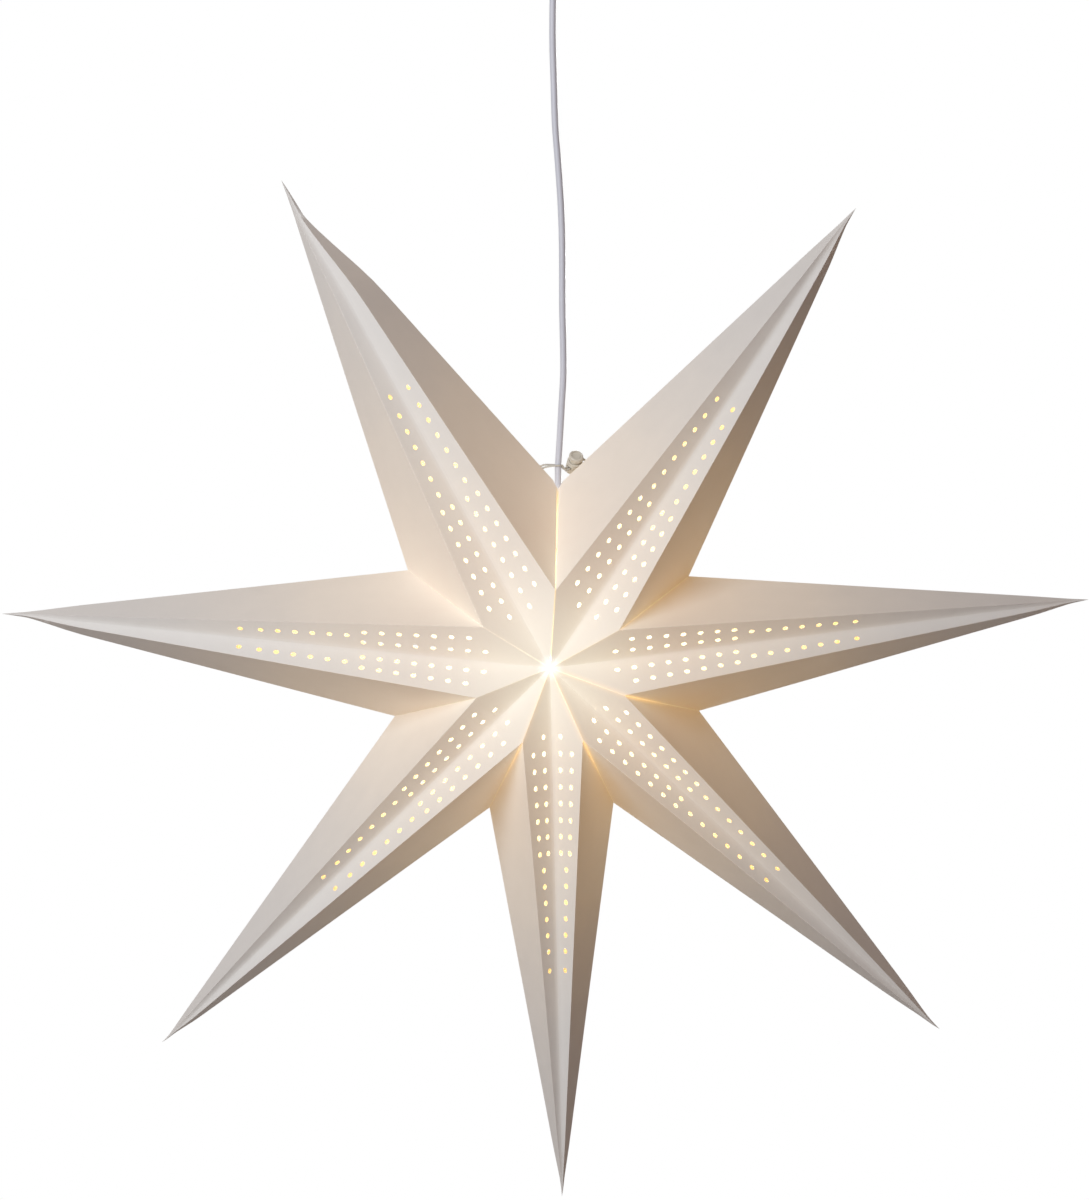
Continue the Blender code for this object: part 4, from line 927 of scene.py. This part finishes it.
# %% Twist the plies
STRING_RADIUS = 0.00095
PLY_RADIUS = 0.00065
PLY_SIDES = 8
TWIST_LENGTH = 0.0036
TWIST_STEP = 0.0004
KNOT_SIZE = 0.0005
KNOT_STEPS = 60
KNOT_LIFT = 1.6
KNOT_THREAD = 0.75
TAIL_LENGTH = 0.006
STRANDS = (
    # the front strand, then the back strand
    (
        (-0.01249, 0.01074, -0.51090), (-0.00870, 0.00574, -0.50888), (-0.00585, 0.00257, -0.50771),
        (-0.00197, -0.00056, -0.50684), (0.00205, -0.00329, -0.50621), (0.00354, -0.00418, -0.50600),
        (0.00626, -0.00418, -0.50600), (0.00846, -0.00259, -0.50600), (0.00974, -0.00133, -0.50757),
        (0.01122, 0.00019, -0.50970), (0.01250, 0.00146, -0.51112), (0.01480, 0.00318, -0.50982),
        (0.01767, 0.00533, -0.50820), (0.02268, 0.00909, -0.50536), (0.02725, 0.01253, -0.50277),
        (0.02955, 0.01425, -0.50147), (0.03104, 0.01648, -0.50264), (0.03403, 0.02113, -0.50535),
        (0.03867, 0.02849, -0.50978), (0.04203, 0.03379, -0.51296),
    ),
    (
        (-0.01398, 0.01033, -0.50886), (-0.01149, 0.00659, -0.50741), (-0.00890, 0.00316, -0.50608),
        (-0.00734, 0.00216, -0.50566), (-0.00542, 0.00189, -0.50551), (-0.00092, 0.00282, -0.50572),
        (0.00283, 0.00388, -0.50600), (0.00490, 0.00424, -0.50580), (0.00626, 0.00418, -0.50600),
        (0.00776, 0.00368, -0.50711), (0.00938, 0.00297, -0.50862), (0.01076, 0.00263, -0.50959),
        (0.01305, 0.00435, -0.50829), (0.01592, 0.00651, -0.50667), (0.02093, 0.01027, -0.50383),
        (0.02551, 0.01370, -0.50124), (0.02780, 0.01543, -0.49994), (0.02929, 0.01754, -0.50148),
        (0.03226, 0.02196, -0.50499), (0.03687, 0.02894, -0.51071), (0.04021, 0.03398, -0.51481),
    ),
)


def add_twist(shape, route):
    """Two plies wound round each other along a route."""
    frames = route_frames(smooth_route(route, TWIST_STEP))
    for ply in (0, 0.5):
        points = []
        for number, matrix in enumerate(frames):
            turn = math.tau * (number * TWIST_STEP / TWIST_LENGTH + ply)
            reach = STRING_RADIUS - PLY_RADIUS
            points.append(matrix @ Vector((reach * math.cos(turn), reach * math.sin(turn), 0)))
        add_tube(shape, points, PLY_RADIUS, PLY_SIDES)


def add_knot(shape, middle, along):
    """A tight overhand knot round a place, and a short tail that runs on from it."""
    frame_here = route_frames([middle, middle + along])[0]
    points = []
    for number in range(KNOT_STEPS + 1):
        turn = math.tau * number / KNOT_STEPS
        loop = (
            math.sin(turn) + 2 * math.sin(2 * turn),
            math.cos(turn) - 2 * math.cos(2 * turn),
            -math.sin(3 * turn) * KNOT_LIFT,
        )
        points.append(frame_here @ (Vector(loop) * KNOT_SIZE))
    add_tube(shape, points, STRING_RADIUS * KNOT_THREAD, PLY_SIDES)
    add_twist(shape, [middle, middle + along * TAIL_LENGTH / 2, middle + along * TAIL_LENGTH])


# %% Tie the string
string_paint, tree, inputs = new_finish("twisted_cotton", (0.62, 0.60, 0.54), 0.85)
threads = grain(tree, place_on_tube(tree, PLY_RADIUS, 0.12), 5200, 3, 0.7)
fuzz = grain(tree, object_place(tree), 1500, 2)
tree.links.new(mix(tree, threads, (0.54, 0.52, 0.46), (0.70, 0.68, 0.62)), inputs["Base Color"])
tree.links.new(rescale(tree, fuzz, 0.3, 0.7, 0.78, 0.95), inputs["Roughness"])
raise_surface(tree, inputs, calculate(tree, "ADD", threads, fuzz), 0.0001)

shape = bmesh.new()
for strand in STRANDS:
    add_twist(shape, strand)
for name, end, before in (("tie_knot_left", 0, 1), ("tie_knot_right", -1, -2)):
    low, high = (Vector(corner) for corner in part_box(name))
    along = sum((Vector(strand[end]) - Vector(strand[before]) for strand in STRANDS), Vector()).normalized()
    add_knot(shape, (low + high) / 2, along)
tie = finished(
    "tie_string",
    shape,
    string_paint,
    "arm_1",
    ["tie_string_front", "tie_string_back", "tie_knot_left", "tie_knot_right"],
)
print("tie faces", len(tie.data.polygons))

# %% [markdown]
# ## The cord lock
# The lock is a small moulded barrel with a spring inside and a push button on its plunger. Slots run through both,
# and the spring makes the plunger pinch the string until the button is pressed. Both pieces are round, so each
# is a profile spun round the barrel's axis. The slots are cut as lines, opened and bridged, and a
# narrow bevel rounds the edges, as a mould does.

# %% Turned pieces
TURN_STEPS = 48
EDGE_ANGLE = math.radians(30)


def add_turned(shape, profile, steps=TURN_STEPS):
    """Spin a profile of (radius, height) spots once round Z, and close it."""
    corners = [shape.verts.new((radius, 0, height)) for radius, height in profile]
    edges = [shape.edges.new(pair) for pair in zip(corners, corners[1:])]
    bmesh.ops.spin(shape, geom=corners + edges, axis=(0, 0, 1), steps=steps, angle=math.tau, use_merge=True)
    bmesh.ops.remove_doubles(shape, verts=shape.verts, dist=MERGE_DISTANCE)
    bmesh.ops.recalc_face_normals(shape, faces=shape.faces)


def open_slot(shape, width, low, high, through):
    """Open a slot along X: through each side's wall, or right through a solid piece."""
    for height in (low, high):
        cut_lines(shape, (0, 0, height), (0, 0, 1))
    for side in (-width / 2, width / 2):
        cut_lines(shape, (0, side, 0), (0, 1, 0))
    inside = []
    for face in shape.faces:
        middle = face.calc_center_median()
        if abs(middle.y) < width / 2 and low < middle.z < high and abs(face.normal.z) < 0.5:
            inside.append(face)
    ends = [[face for face in inside if face.calc_center_median().x * side > 0] for side in (-1, 1)]
    rims = []
    for faces in ends:
        found = {edge for face in faces for edge in face.edges}
        rims.append([edge for edge in found if sum(face in faces for face in edge.link_faces) == 1])
    bmesh.ops.delete(shape, geom=inside, context="FACES_KEEP_BOUNDARY")
    for rim in [rims[0] + rims[1]] if through else rims:
        bmesh.ops.bridge_loops(shape, edges=rim)
    bmesh.ops.recalc_face_normals(shape, faces=shape.faces)


def round_edges(piece, width, segments=2):
    """A narrow rounded edge on a piece, as moulded and pressed pieces have."""
    rim = piece.modifiers.new("rounded_edges", "BEVEL")
    rim.width = width
    rim.segments = segments
    rim.limit_method = "ANGLE"
    rim.angle_limit = EDGE_ANGLE


# %% Moulded skin group
moulded_skin, start, end = shared_group(
    "moulded_skin",
    [
        ("Scale", "NodeSocketFloat", 900.0),
        ("Polished", "NodeSocketFloat", 0.35),
        ("Dull", "NodeSocketFloat", 0.5),
    ],
    [("Shade", "NodeSocketFloat"), ("Roughness", "NodeSocketFloat"), ("Height", "NodeSocketFloat")],
)
place = object_place(moulded_skin)
pebbles = grain(moulded_skin, place, start["Scale"], 2)
clouds = grain(moulded_skin, place, 60, 3)
scuffs = grain(moulded_skin, calculate_vector(moulded_skin, "MULTIPLY", place, (1.0, 0.2, 1.0)), 420, 2, 0.7)
scuffs = rescale(moulded_skin, scuffs, 0.58, 0.74)
moulded_skin.links.new(clouds, end["Shade"])
dullness = calculate(moulded_skin, "MAXIMUM", rescale(moulded_skin, clouds, 0.35, 0.65), scuffs)
moulded_skin.links.new(rescale(moulded_skin, dullness, 0, 1, start["Polished"], start["Dull"]), end["Roughness"])
moulded_skin.links.new(calculate(moulded_skin, "MULTIPLY_ADD", scuffs, -0.5, pebbles), end["Height"])


def moulding(name, dark, pale, polished, dull, scale=900.0, depth=0.00003):
    """A moulded plastic finish: a faint pebble, soft clouds and a few scuffs."""
    paint, tree, inputs = new_finish(name, pale, polished)
    skin = use_group(tree, moulded_skin, scale=scale, polished=polished, dull=dull)
    tree.links.new(mix(tree, skin["Shade"], dark, pale), inputs["Base Color"])
    tree.links.new(skin["Roughness"], inputs["Roughness"])
    raise_surface(tree, inputs, skin["Height"], depth)
    return paint


print("moulded skin group:", len(moulded_skin.nodes), "nodes")

# %% Barrel and button
# The lock's middle and its three axes, as in the CAD model.
LOCK_PLACE = Matrix.Translation((0.01995, 0.0095, -0.506574)) @ Matrix(
    ((0.728476, -0.671623, 0.135116), (0.546921, 0.451372, -0.705080), (0.412554, 0.587536, 0.696137))
).to_4x4()
LOCK_RADIUS, BARREL_HALF, BARREL_FLOOR = 0.0072, 0.0070, 0.0012
PLUNGER_RADIUS, PLUNGER_GAP, PLUNGER_TRAVEL = 0.0054, 0.0003, 0.0025
BUTTON_RADIUS, BUTTON_HEIGHT, BUTTON_RIM, BUTTON_DISH = 0.0066, 0.0042, 0.0014, 0.0008
SLOT_WIDTH, SLOT_LOW, SLOT_HIGH = 0.0052, 0.0001, 0.0029
MOUTH_CHAMFER, MOUTH_LIP, FOOT_CHAMFER = 0.0005, 0.0008, 0.0012
GROOVE_DEPTH, GROOVE_LEVELS = 0.0004, (0.0020, 0.0022, 0.0027, 0.0029)
LOCK_EDGE = 0.0002

lock_paint = moulding("ivory_moulding", (0.62, 0.58, 0.49), (0.70, 0.66, 0.57), 0.34, 0.48, 700)


def lock_piece(name, profile, slot_high, through, body, node):
    """A turned and slotted piece of the lock, laid in its place."""
    shape = bmesh.new()
    add_turned(shape, profile)
    open_slot(shape, SLOT_WIDTH, SLOT_LOW, slot_high, through)
    bmesh.ops.transform(shape, matrix=LOCK_PLACE, verts=shape.verts)
    piece = finished(name, shape, lock_paint, body, [node], EDGE_ANGLE)
    round_edges(piece, LOCK_EDGE)
    return piece


bore, groove = PLUNGER_RADIUS + PLUNGER_GAP, LOCK_RADIUS - GROOVE_DEPTH
widths = (LOCK_RADIUS, groove, groove, LOCK_RADIUS)
barrel = lock_piece(
    "lock_barrel_moulding",
    [
        (bore, BARREL_HALF),
        (LOCK_RADIUS - MOUTH_CHAMFER, BARREL_HALF),
        (LOCK_RADIUS, BARREL_HALF - MOUTH_LIP),
        *((width, BARREL_HALF - level) for width, level in zip(widths, GROOVE_LEVELS)),
        (LOCK_RADIUS, FOOT_CHAMFER - BARREL_HALF),
        (LOCK_RADIUS - FOOT_CHAMFER, -BARREL_HALF),
        (0, -BARREL_HALF),
        (0, BARREL_FLOOR - BARREL_HALF),
        (bore, BARREL_FLOOR - BARREL_HALF),
        (bore, BARREL_HALF),
    ],
    SLOT_HIGH,
    False,
    "cord_lock",
    "lock_barrel",
)

foot = BARREL_HALF + PLUNGER_GAP + PLUNGER_TRAVEL
top = foot + BUTTON_HEIGHT
button = lock_piece(
    "lock_button_moulding",
    [
        (0, top - BUTTON_DISH),
        (BUTTON_RADIUS * 0.4, top - BUTTON_DISH * 0.9),
        (BUTTON_RADIUS - BUTTON_RIM * 2, top - BUTTON_DISH * 0.6),
        (BUTTON_RADIUS - BUTTON_RIM * 1.9, top - BUTTON_DISH * 1.2),
        (BUTTON_RADIUS - BUTTON_RIM * 1.6, top - BUTTON_DISH * 1.2),
        (BUTTON_RADIUS - BUTTON_RIM * 1.4, top),
        (BUTTON_RADIUS - BUTTON_RIM * 0.6, top),
        (BUTTON_RADIUS, top - BUTTON_RIM * 0.6),
        (BUTTON_RADIUS, foot),
        (PLUNGER_RADIUS, foot),
        (PLUNGER_RADIUS, SLOT_LOW - BARREL_FLOOR),
        (0, SLOT_LOW - BARREL_FLOOR),
    ],
    SLOT_HIGH + PLUNGER_TRAVEL,
    True,
    "lock_button",
    "lock_plunger",
)
print("lock faces", len(barrel.data.polygons), len(button.data.polygons))

# %% [markdown]
# ## The bulb
# A small frosted globe bulb is the light inside the star. It is a real light here: its glass is lit, and what
# comes through the punched holes and the top seam is what it throws on the inside of the paper, together with the
# light painted on the paper's inner faces.

# %% Lit glass
GLOBE_STRENGTH, FILAMENT_STRENGTH = 26.0, 20.0


def give_finish(paint, *names):
    """Give CAD pieces a finish in place of their plain one."""
    for name in names:
        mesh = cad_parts[name].data
        mesh.materials.clear()
        mesh.materials.append(paint)


globe_paint, tree, inputs = new_finish("frosted_glass", (0.95, 0.90, 0.80), 0.35)
frost = grain(tree, object_place(tree), 900, 2)
tree.links.new(mix(tree, frost, (1.0, 0.76, 0.47), (1.0, 0.83, 0.57)), inputs["Emission Color"])
inputs["Emission Strength"].default_value = GLOBE_STRENGTH
raise_surface(tree, inputs, frost, 0.00005)
give_finish(globe_paint, "bulb_globe")

stem_paint, tree, inputs = new_finish("clear_glass_stem", (0.90, 0.92, 0.92), 0.08)
inputs["Transmission Weight"].default_value = 0.9
drawn = calculate_vector(tree, "MULTIPLY", object_place(tree), (1.0, 1.0, 0.1))
raise_surface(tree, inputs, grain(tree, drawn, 1500, 2), 0.00004)
give_finish(stem_paint, "bulb_stem")

filament_paint, tree, inputs = new_finish("coated_filament", (0.95, 0.72, 0.25), 0.6)
wave = {"Vector": object_place(tree), "Scale": 260}
beads = add_node(tree, "TexWave", wave.items(), bands_direction="Z").outputs["Fac"]
tree.links.new(mix(tree, beads, (1.0, 0.45, 0.12), (1.0, 0.72, 0.34)), inputs["Emission Color"])
inputs["Emission Strength"].default_value = FILAMENT_STRENGTH
raise_surface(tree, inputs, beads, 0.0001)
give_finish(filament_paint, *(f"led_filament_{number}" for number in range(1, 5)))

# %% [markdown]
# ## The bulb's cap
# A small bulb is held by its screw thread. The cap is thin plated metal, rolled into a round thread. It is one
# turn's profile, spun up a helix and trimmed flat at both ends. A plain collar below and a cone above close it.
# The brass shell round it is hidden in the holder and keeps its CAD shape.

# %% Rubbed metal group
rubbed_metal, start, end = shared_group(
    "rubbed_metal",
    [
        ("Scale", "NodeSocketFloat", 120.0),
        ("Bright", "NodeSocketFloat", 0.25),
        ("Dull", "NodeSocketFloat", 0.45),
    ],
    [("Tarnish", "NodeSocketFloat"), ("Roughness", "NodeSocketFloat"), ("Height", "NodeSocketFloat")],
)
place = object_place(rubbed_metal)
tarnish = rescale(rubbed_metal, grain(rubbed_metal, place, start["Scale"], 4, 0.65), 0.38, 0.66)
rubbed = grain(rubbed_metal, calculate_vector(rubbed_metal, "MULTIPLY", place, (1.0, 1.0, 0.06)), 2600, 2, 0.7)
rubbed_metal.links.new(tarnish, end["Tarnish"])
wear = times(rubbed_metal, tarnish, 0.7)
wear = calculate(rubbed_metal, "MULTIPLY_ADD", rubbed, 0.3, wear)
rubbed_metal.links.new(rescale(rubbed_metal, wear, 0, 1, start["Bright"], start["Dull"]), end["Roughness"])
rubbed_metal.links.new(rubbed, end["Height"])


def metal(name, bright, dark, polish, dull, scale=120.0, depth=0.00001):
    """A plated or bare metal finish: clouds of tarnish and fine rub lines."""
    paint, tree, inputs = new_finish(name, bright, polish, 1.0)
    skin = use_group(tree, rubbed_metal, scale=scale, bright=polish, dull=dull)
    tree.links.new(mix(tree, skin["Tarnish"], bright, dark), inputs["Base Color"])
    tree.links.new(skin["Roughness"], inputs["Roughness"])
    raise_surface(tree, inputs, skin["Height"], depth)
    return paint


print("rubbed metal group:", len(rubbed_metal.nodes), "nodes")

# %% Roll the cap
THREAD_PITCH = 0.002822
THREAD_STEPS, THREAD_SPOTS, SPARE_TURNS = 40, 8, 2
SHEET_METAL = 0.0003
CAP_CREST, CAP_ROOT, CAP_COLLAR = 0.0068, 0.0062, 0.0064
THREAD_FOOT, THREAD_HEAD = 0.0022, 0.0018


def add_thread(shape, root, crest, low, high):
    """A round thread between two heights."""
    turns = math.ceil((high - low) / THREAD_PITCH) + SPARE_TURNS
    spots = []
    for number in range(THREAD_SPOTS + 1):
        share = number / THREAD_SPOTS
        reach = root + (crest - root) * (1 - math.cos(math.tau * share)) / 2
        spots.append(shape.verts.new((reach, 0, low - THREAD_PITCH * (1 - share))))
    edges = [shape.edges.new(pair) for pair in zip(spots, spots[1:])]
    bmesh.ops.spin(
        shape,
        geom=spots + edges,
        axis=(0, 0, 1),
        dvec=(0, 0, THREAD_PITCH / THREAD_STEPS),
        steps=THREAD_STEPS * turns,
        angle=math.tau * turns,
    )
    bmesh.ops.remove_doubles(shape, verts=shape.verts, dist=MERGE_DISTANCE)
    for height, side in ((low, -1), (high, 1)):
        parts = list(shape.verts) + list(shape.edges) + list(shape.faces)
        place, normal = (0, 0, height), (0, 0, side)
        bmesh.ops.bisect_plane(
            shape, geom=parts, dist=MERGE_DISTANCE, plane_co=place, plane_no=normal, clear_outer=True
        )


cap_paint = metal("nickel_plated_cap", (0.72, 0.70, 0.66), (0.55, 0.52, 0.47), 0.22, 0.4)
low, high = (Vector(corner).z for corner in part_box("bulb_screw_base"))
collar = [(CAP_COLLAR, low), (CAP_COLLAR, low + 0.0018), (CAP_ROOT, low + 0.0026)]
cone = [(CAP_ROOT, high - 0.0022), (CAP_ROOT * 0.99, high - 0.0014), (CAP_ROOT * 0.88, high)]
shape = bmesh.new()
add_thread(shape, CAP_ROOT, CAP_CREST, low + THREAD_FOOT, high - THREAD_HEAD)
for profile in (collar, cone):
    end_piece = bmesh.new()
    add_turned(end_piece, profile)
    made = bpy.data.meshes.new("end")
    end_piece.to_mesh(made)
    end_piece.free()
    shape.from_mesh(made)
    bpy.data.meshes.remove(made)
for face in shape.faces:
    middle = face.calc_center_median()
    if face.normal.x * middle.x + face.normal.y * middle.y < 0:
        face.normal_flip()
bmesh.ops.translate(shape, verts=shape.verts, vec=(LAMP_X, 0, 0))
cap = finished("bulb_cap_thread", shape, cap_paint, "bulb", ["bulb_screw_base"])
wall = cap.modifiers.new("sheet_metal", "SOLIDIFY")
wall.thickness = SHEET_METAL
wall.offset = -1
print("cap faces", len(cap.data.polygons))

# %% [markdown]
# ## The lock's spring
# Three coils of plated wire stand between the barrel's floor and the plunger. On the real lock they close up as the
# button is pressed; this coil is built at rest and rides with the barrel.

# %% Coil the spring
SPRING_RADIUS, SPRING_WIRE = 0.0030, 0.00025
SPRING_LOW, SPRING_HIGH = -0.0052, -0.0017
SPRING_TURNS, SPRING_STEPS = 3, 24

steel = metal("zinc_plated_steel", (0.66, 0.67, 0.68), (0.50, 0.51, 0.50), 0.28, 0.5, 160)
points = []
for number in range(SPRING_TURNS * SPRING_STEPS + 1):
    turn = math.tau * number / SPRING_STEPS
    height = SPRING_LOW + (SPRING_HIGH - SPRING_LOW) * number / (SPRING_TURNS * SPRING_STEPS)
    points.append(LOCK_PLACE @ Vector((SPRING_RADIUS * math.cos(turn), SPRING_RADIUS * math.sin(turn), height)))
shape = bmesh.new()
add_tube(shape, points, SPRING_WIRE, PLY_SIDES)
spring = finished("lock_spring_coil", shape, steel, "cord_lock", ["lock_spring"])
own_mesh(spring)
print("spring faces", len(spring.data.polygons))

# %% [markdown]
# ## The ceiling cup
# The cup is a smooth moulding. It is turned like the lock, with a round seat in its floor for the grip's ball and
# an opening in each side for the screw's neck.

# %% Turn the cup
CUP_RADIUS, CUP_HEIGHT, CUP_WALL, CUP_FILLET = 0.042, 0.046, 0.0018, 0.012
CUP_TOP, CUP_STEPS, CUP_EDGE = -0.0005, 96, 0.0003
SEAT_CENTRE, SEAT_RADIUS = -0.0398, 0.0083
SEAT_LOW, SEAT_HIGH = math.radians(-38), math.radians(-8)
SEAT_STEPS, FILLET_STEPS = 6, 12
COLLAR_RADIUS, COLLAR_FLARE = 0.0108, 0.0010
NECK_OPENING, NECK_HEIGHT = 0.0040, -0.010


def arc_spots(radius, height, size, start, end, steps):
    """Spots of (radius, height) along part of a circle."""
    turns = [start + (end - start) * number / steps for number in range(steps + 1)]
    return [(radius + size * math.cos(turn), height + size * math.sin(turn)) for turn in turns]


cup_paint = moulding("white_moulding", (0.76, 0.76, 0.745), (0.82, 0.82, 0.81), 0.3, 0.46)
quarter, shoulder = math.pi / 2, (CUP_RADIUS - CUP_FILLET, CUP_FILLET - CUP_HEIGHT)
seat = arc_spots(0, SEAT_CENTRE, SEAT_RADIUS, SEAT_LOW, SEAT_HIGH, SEAT_STEPS)
profile = [(CUP_RADIUS, CUP_TOP)]
profile += arc_spots(*shoulder, CUP_FILLET, 0, -quarter, FILLET_STEPS)
profile += [(seat[0][0] + COLLAR_FLARE, -CUP_HEIGHT), *seat]
profile += [(COLLAR_RADIUS, seat[-1][1]), (COLLAR_RADIUS, CUP_WALL - CUP_HEIGHT)]
profile += arc_spots(*shoulder, CUP_FILLET - CUP_WALL, -quarter, 0, FILLET_STEPS)
profile += [(CUP_RADIUS - CUP_WALL, CUP_TOP), (CUP_RADIUS, CUP_TOP)]
shape = bmesh.new()
add_turned(shape, profile, CUP_STEPS)
open_slot(shape, NECK_OPENING, NECK_HEIGHT - NECK_OPENING / 2, NECK_HEIGHT + NECK_OPENING / 2, False)
cup = finished("ceiling_cup_moulding", shape, cup_paint, "ceiling", ["ceiling_cup"], EDGE_ANGLE)
round_edges(cup, CUP_EDGE)
print("cup faces", len(cup.data.polygons))

# %% [markdown]
# ## Finishes for the pieces that keep their CAD shape
# The bracket, the screws and the terminal block in the cup, the grip, the holder and its contacts are all there,
# seen or not. They keep their CAD shapes. Two shared groups make their finishes: the moulded skin with
# its faint pebble and scuffs, and rubbed metal with its tarnish.

# %% Mouldings
MOULDINGS = {
    "holder_moulding": (
        ((0.77, 0.76, 0.73), (0.83, 0.82, 0.79), 0.34, 0.5, 1100),
        ("holder_cap", "holder_body", "bulb_housing"),
    ),
    "heatproof_moulding": (
        ((0.64, 0.62, 0.56), (0.72, 0.70, 0.64), 0.55, 0.72, 1600, 0.00006),
        ("terminal_block", "contact_carrier"),
    ),
    "black_glass_insulator": (
        ((0.02, 0.02, 0.022), (0.04, 0.04, 0.042), 0.12, 0.25, 1500),
        ("bulb_insulator",),
    ),
    "sheath_end": (((0.58, 0.59, 0.66), (0.67, 0.68, 0.73), 0.36, 0.5, 1400), ("cord_end",)),
    "brown_core": (
        ((0.20, 0.085, 0.035), (0.28, 0.125, 0.06), 0.35, 0.5, 2000),
        ("wire_brown", "holder_wire_brown"),
    ),
    "blue_core": (
        ((0.02, 0.09, 0.28), (0.035, 0.14, 0.38), 0.35, 0.5, 2000),
        ("wire_blue", "holder_wire_blue"),
    ),
}
give_finish(cup_paint, "cord_grip")
for name, (look, pieces) in MOULDINGS.items():
    give_finish(moulding(name, *look), *pieces)

# %% Metals
give_finish(steel, "ceiling_bracket", "cup_screw_1", "cup_screw_2")
brass = metal("pressed_brass", (0.80, 0.60, 0.27), (0.60, 0.40, 0.15), 0.22, 0.42, 200)
give_finish(
    brass,
    "terminal_screw_1",
    "terminal_screw_2",
    "centre_contact",
    "screw_shell",
    "side_contact",
    "terminal_post_1",
    "terminal_post_2",
    "bulb_tip_contact",
)
print("finishes:", len(bpy.data.materials))
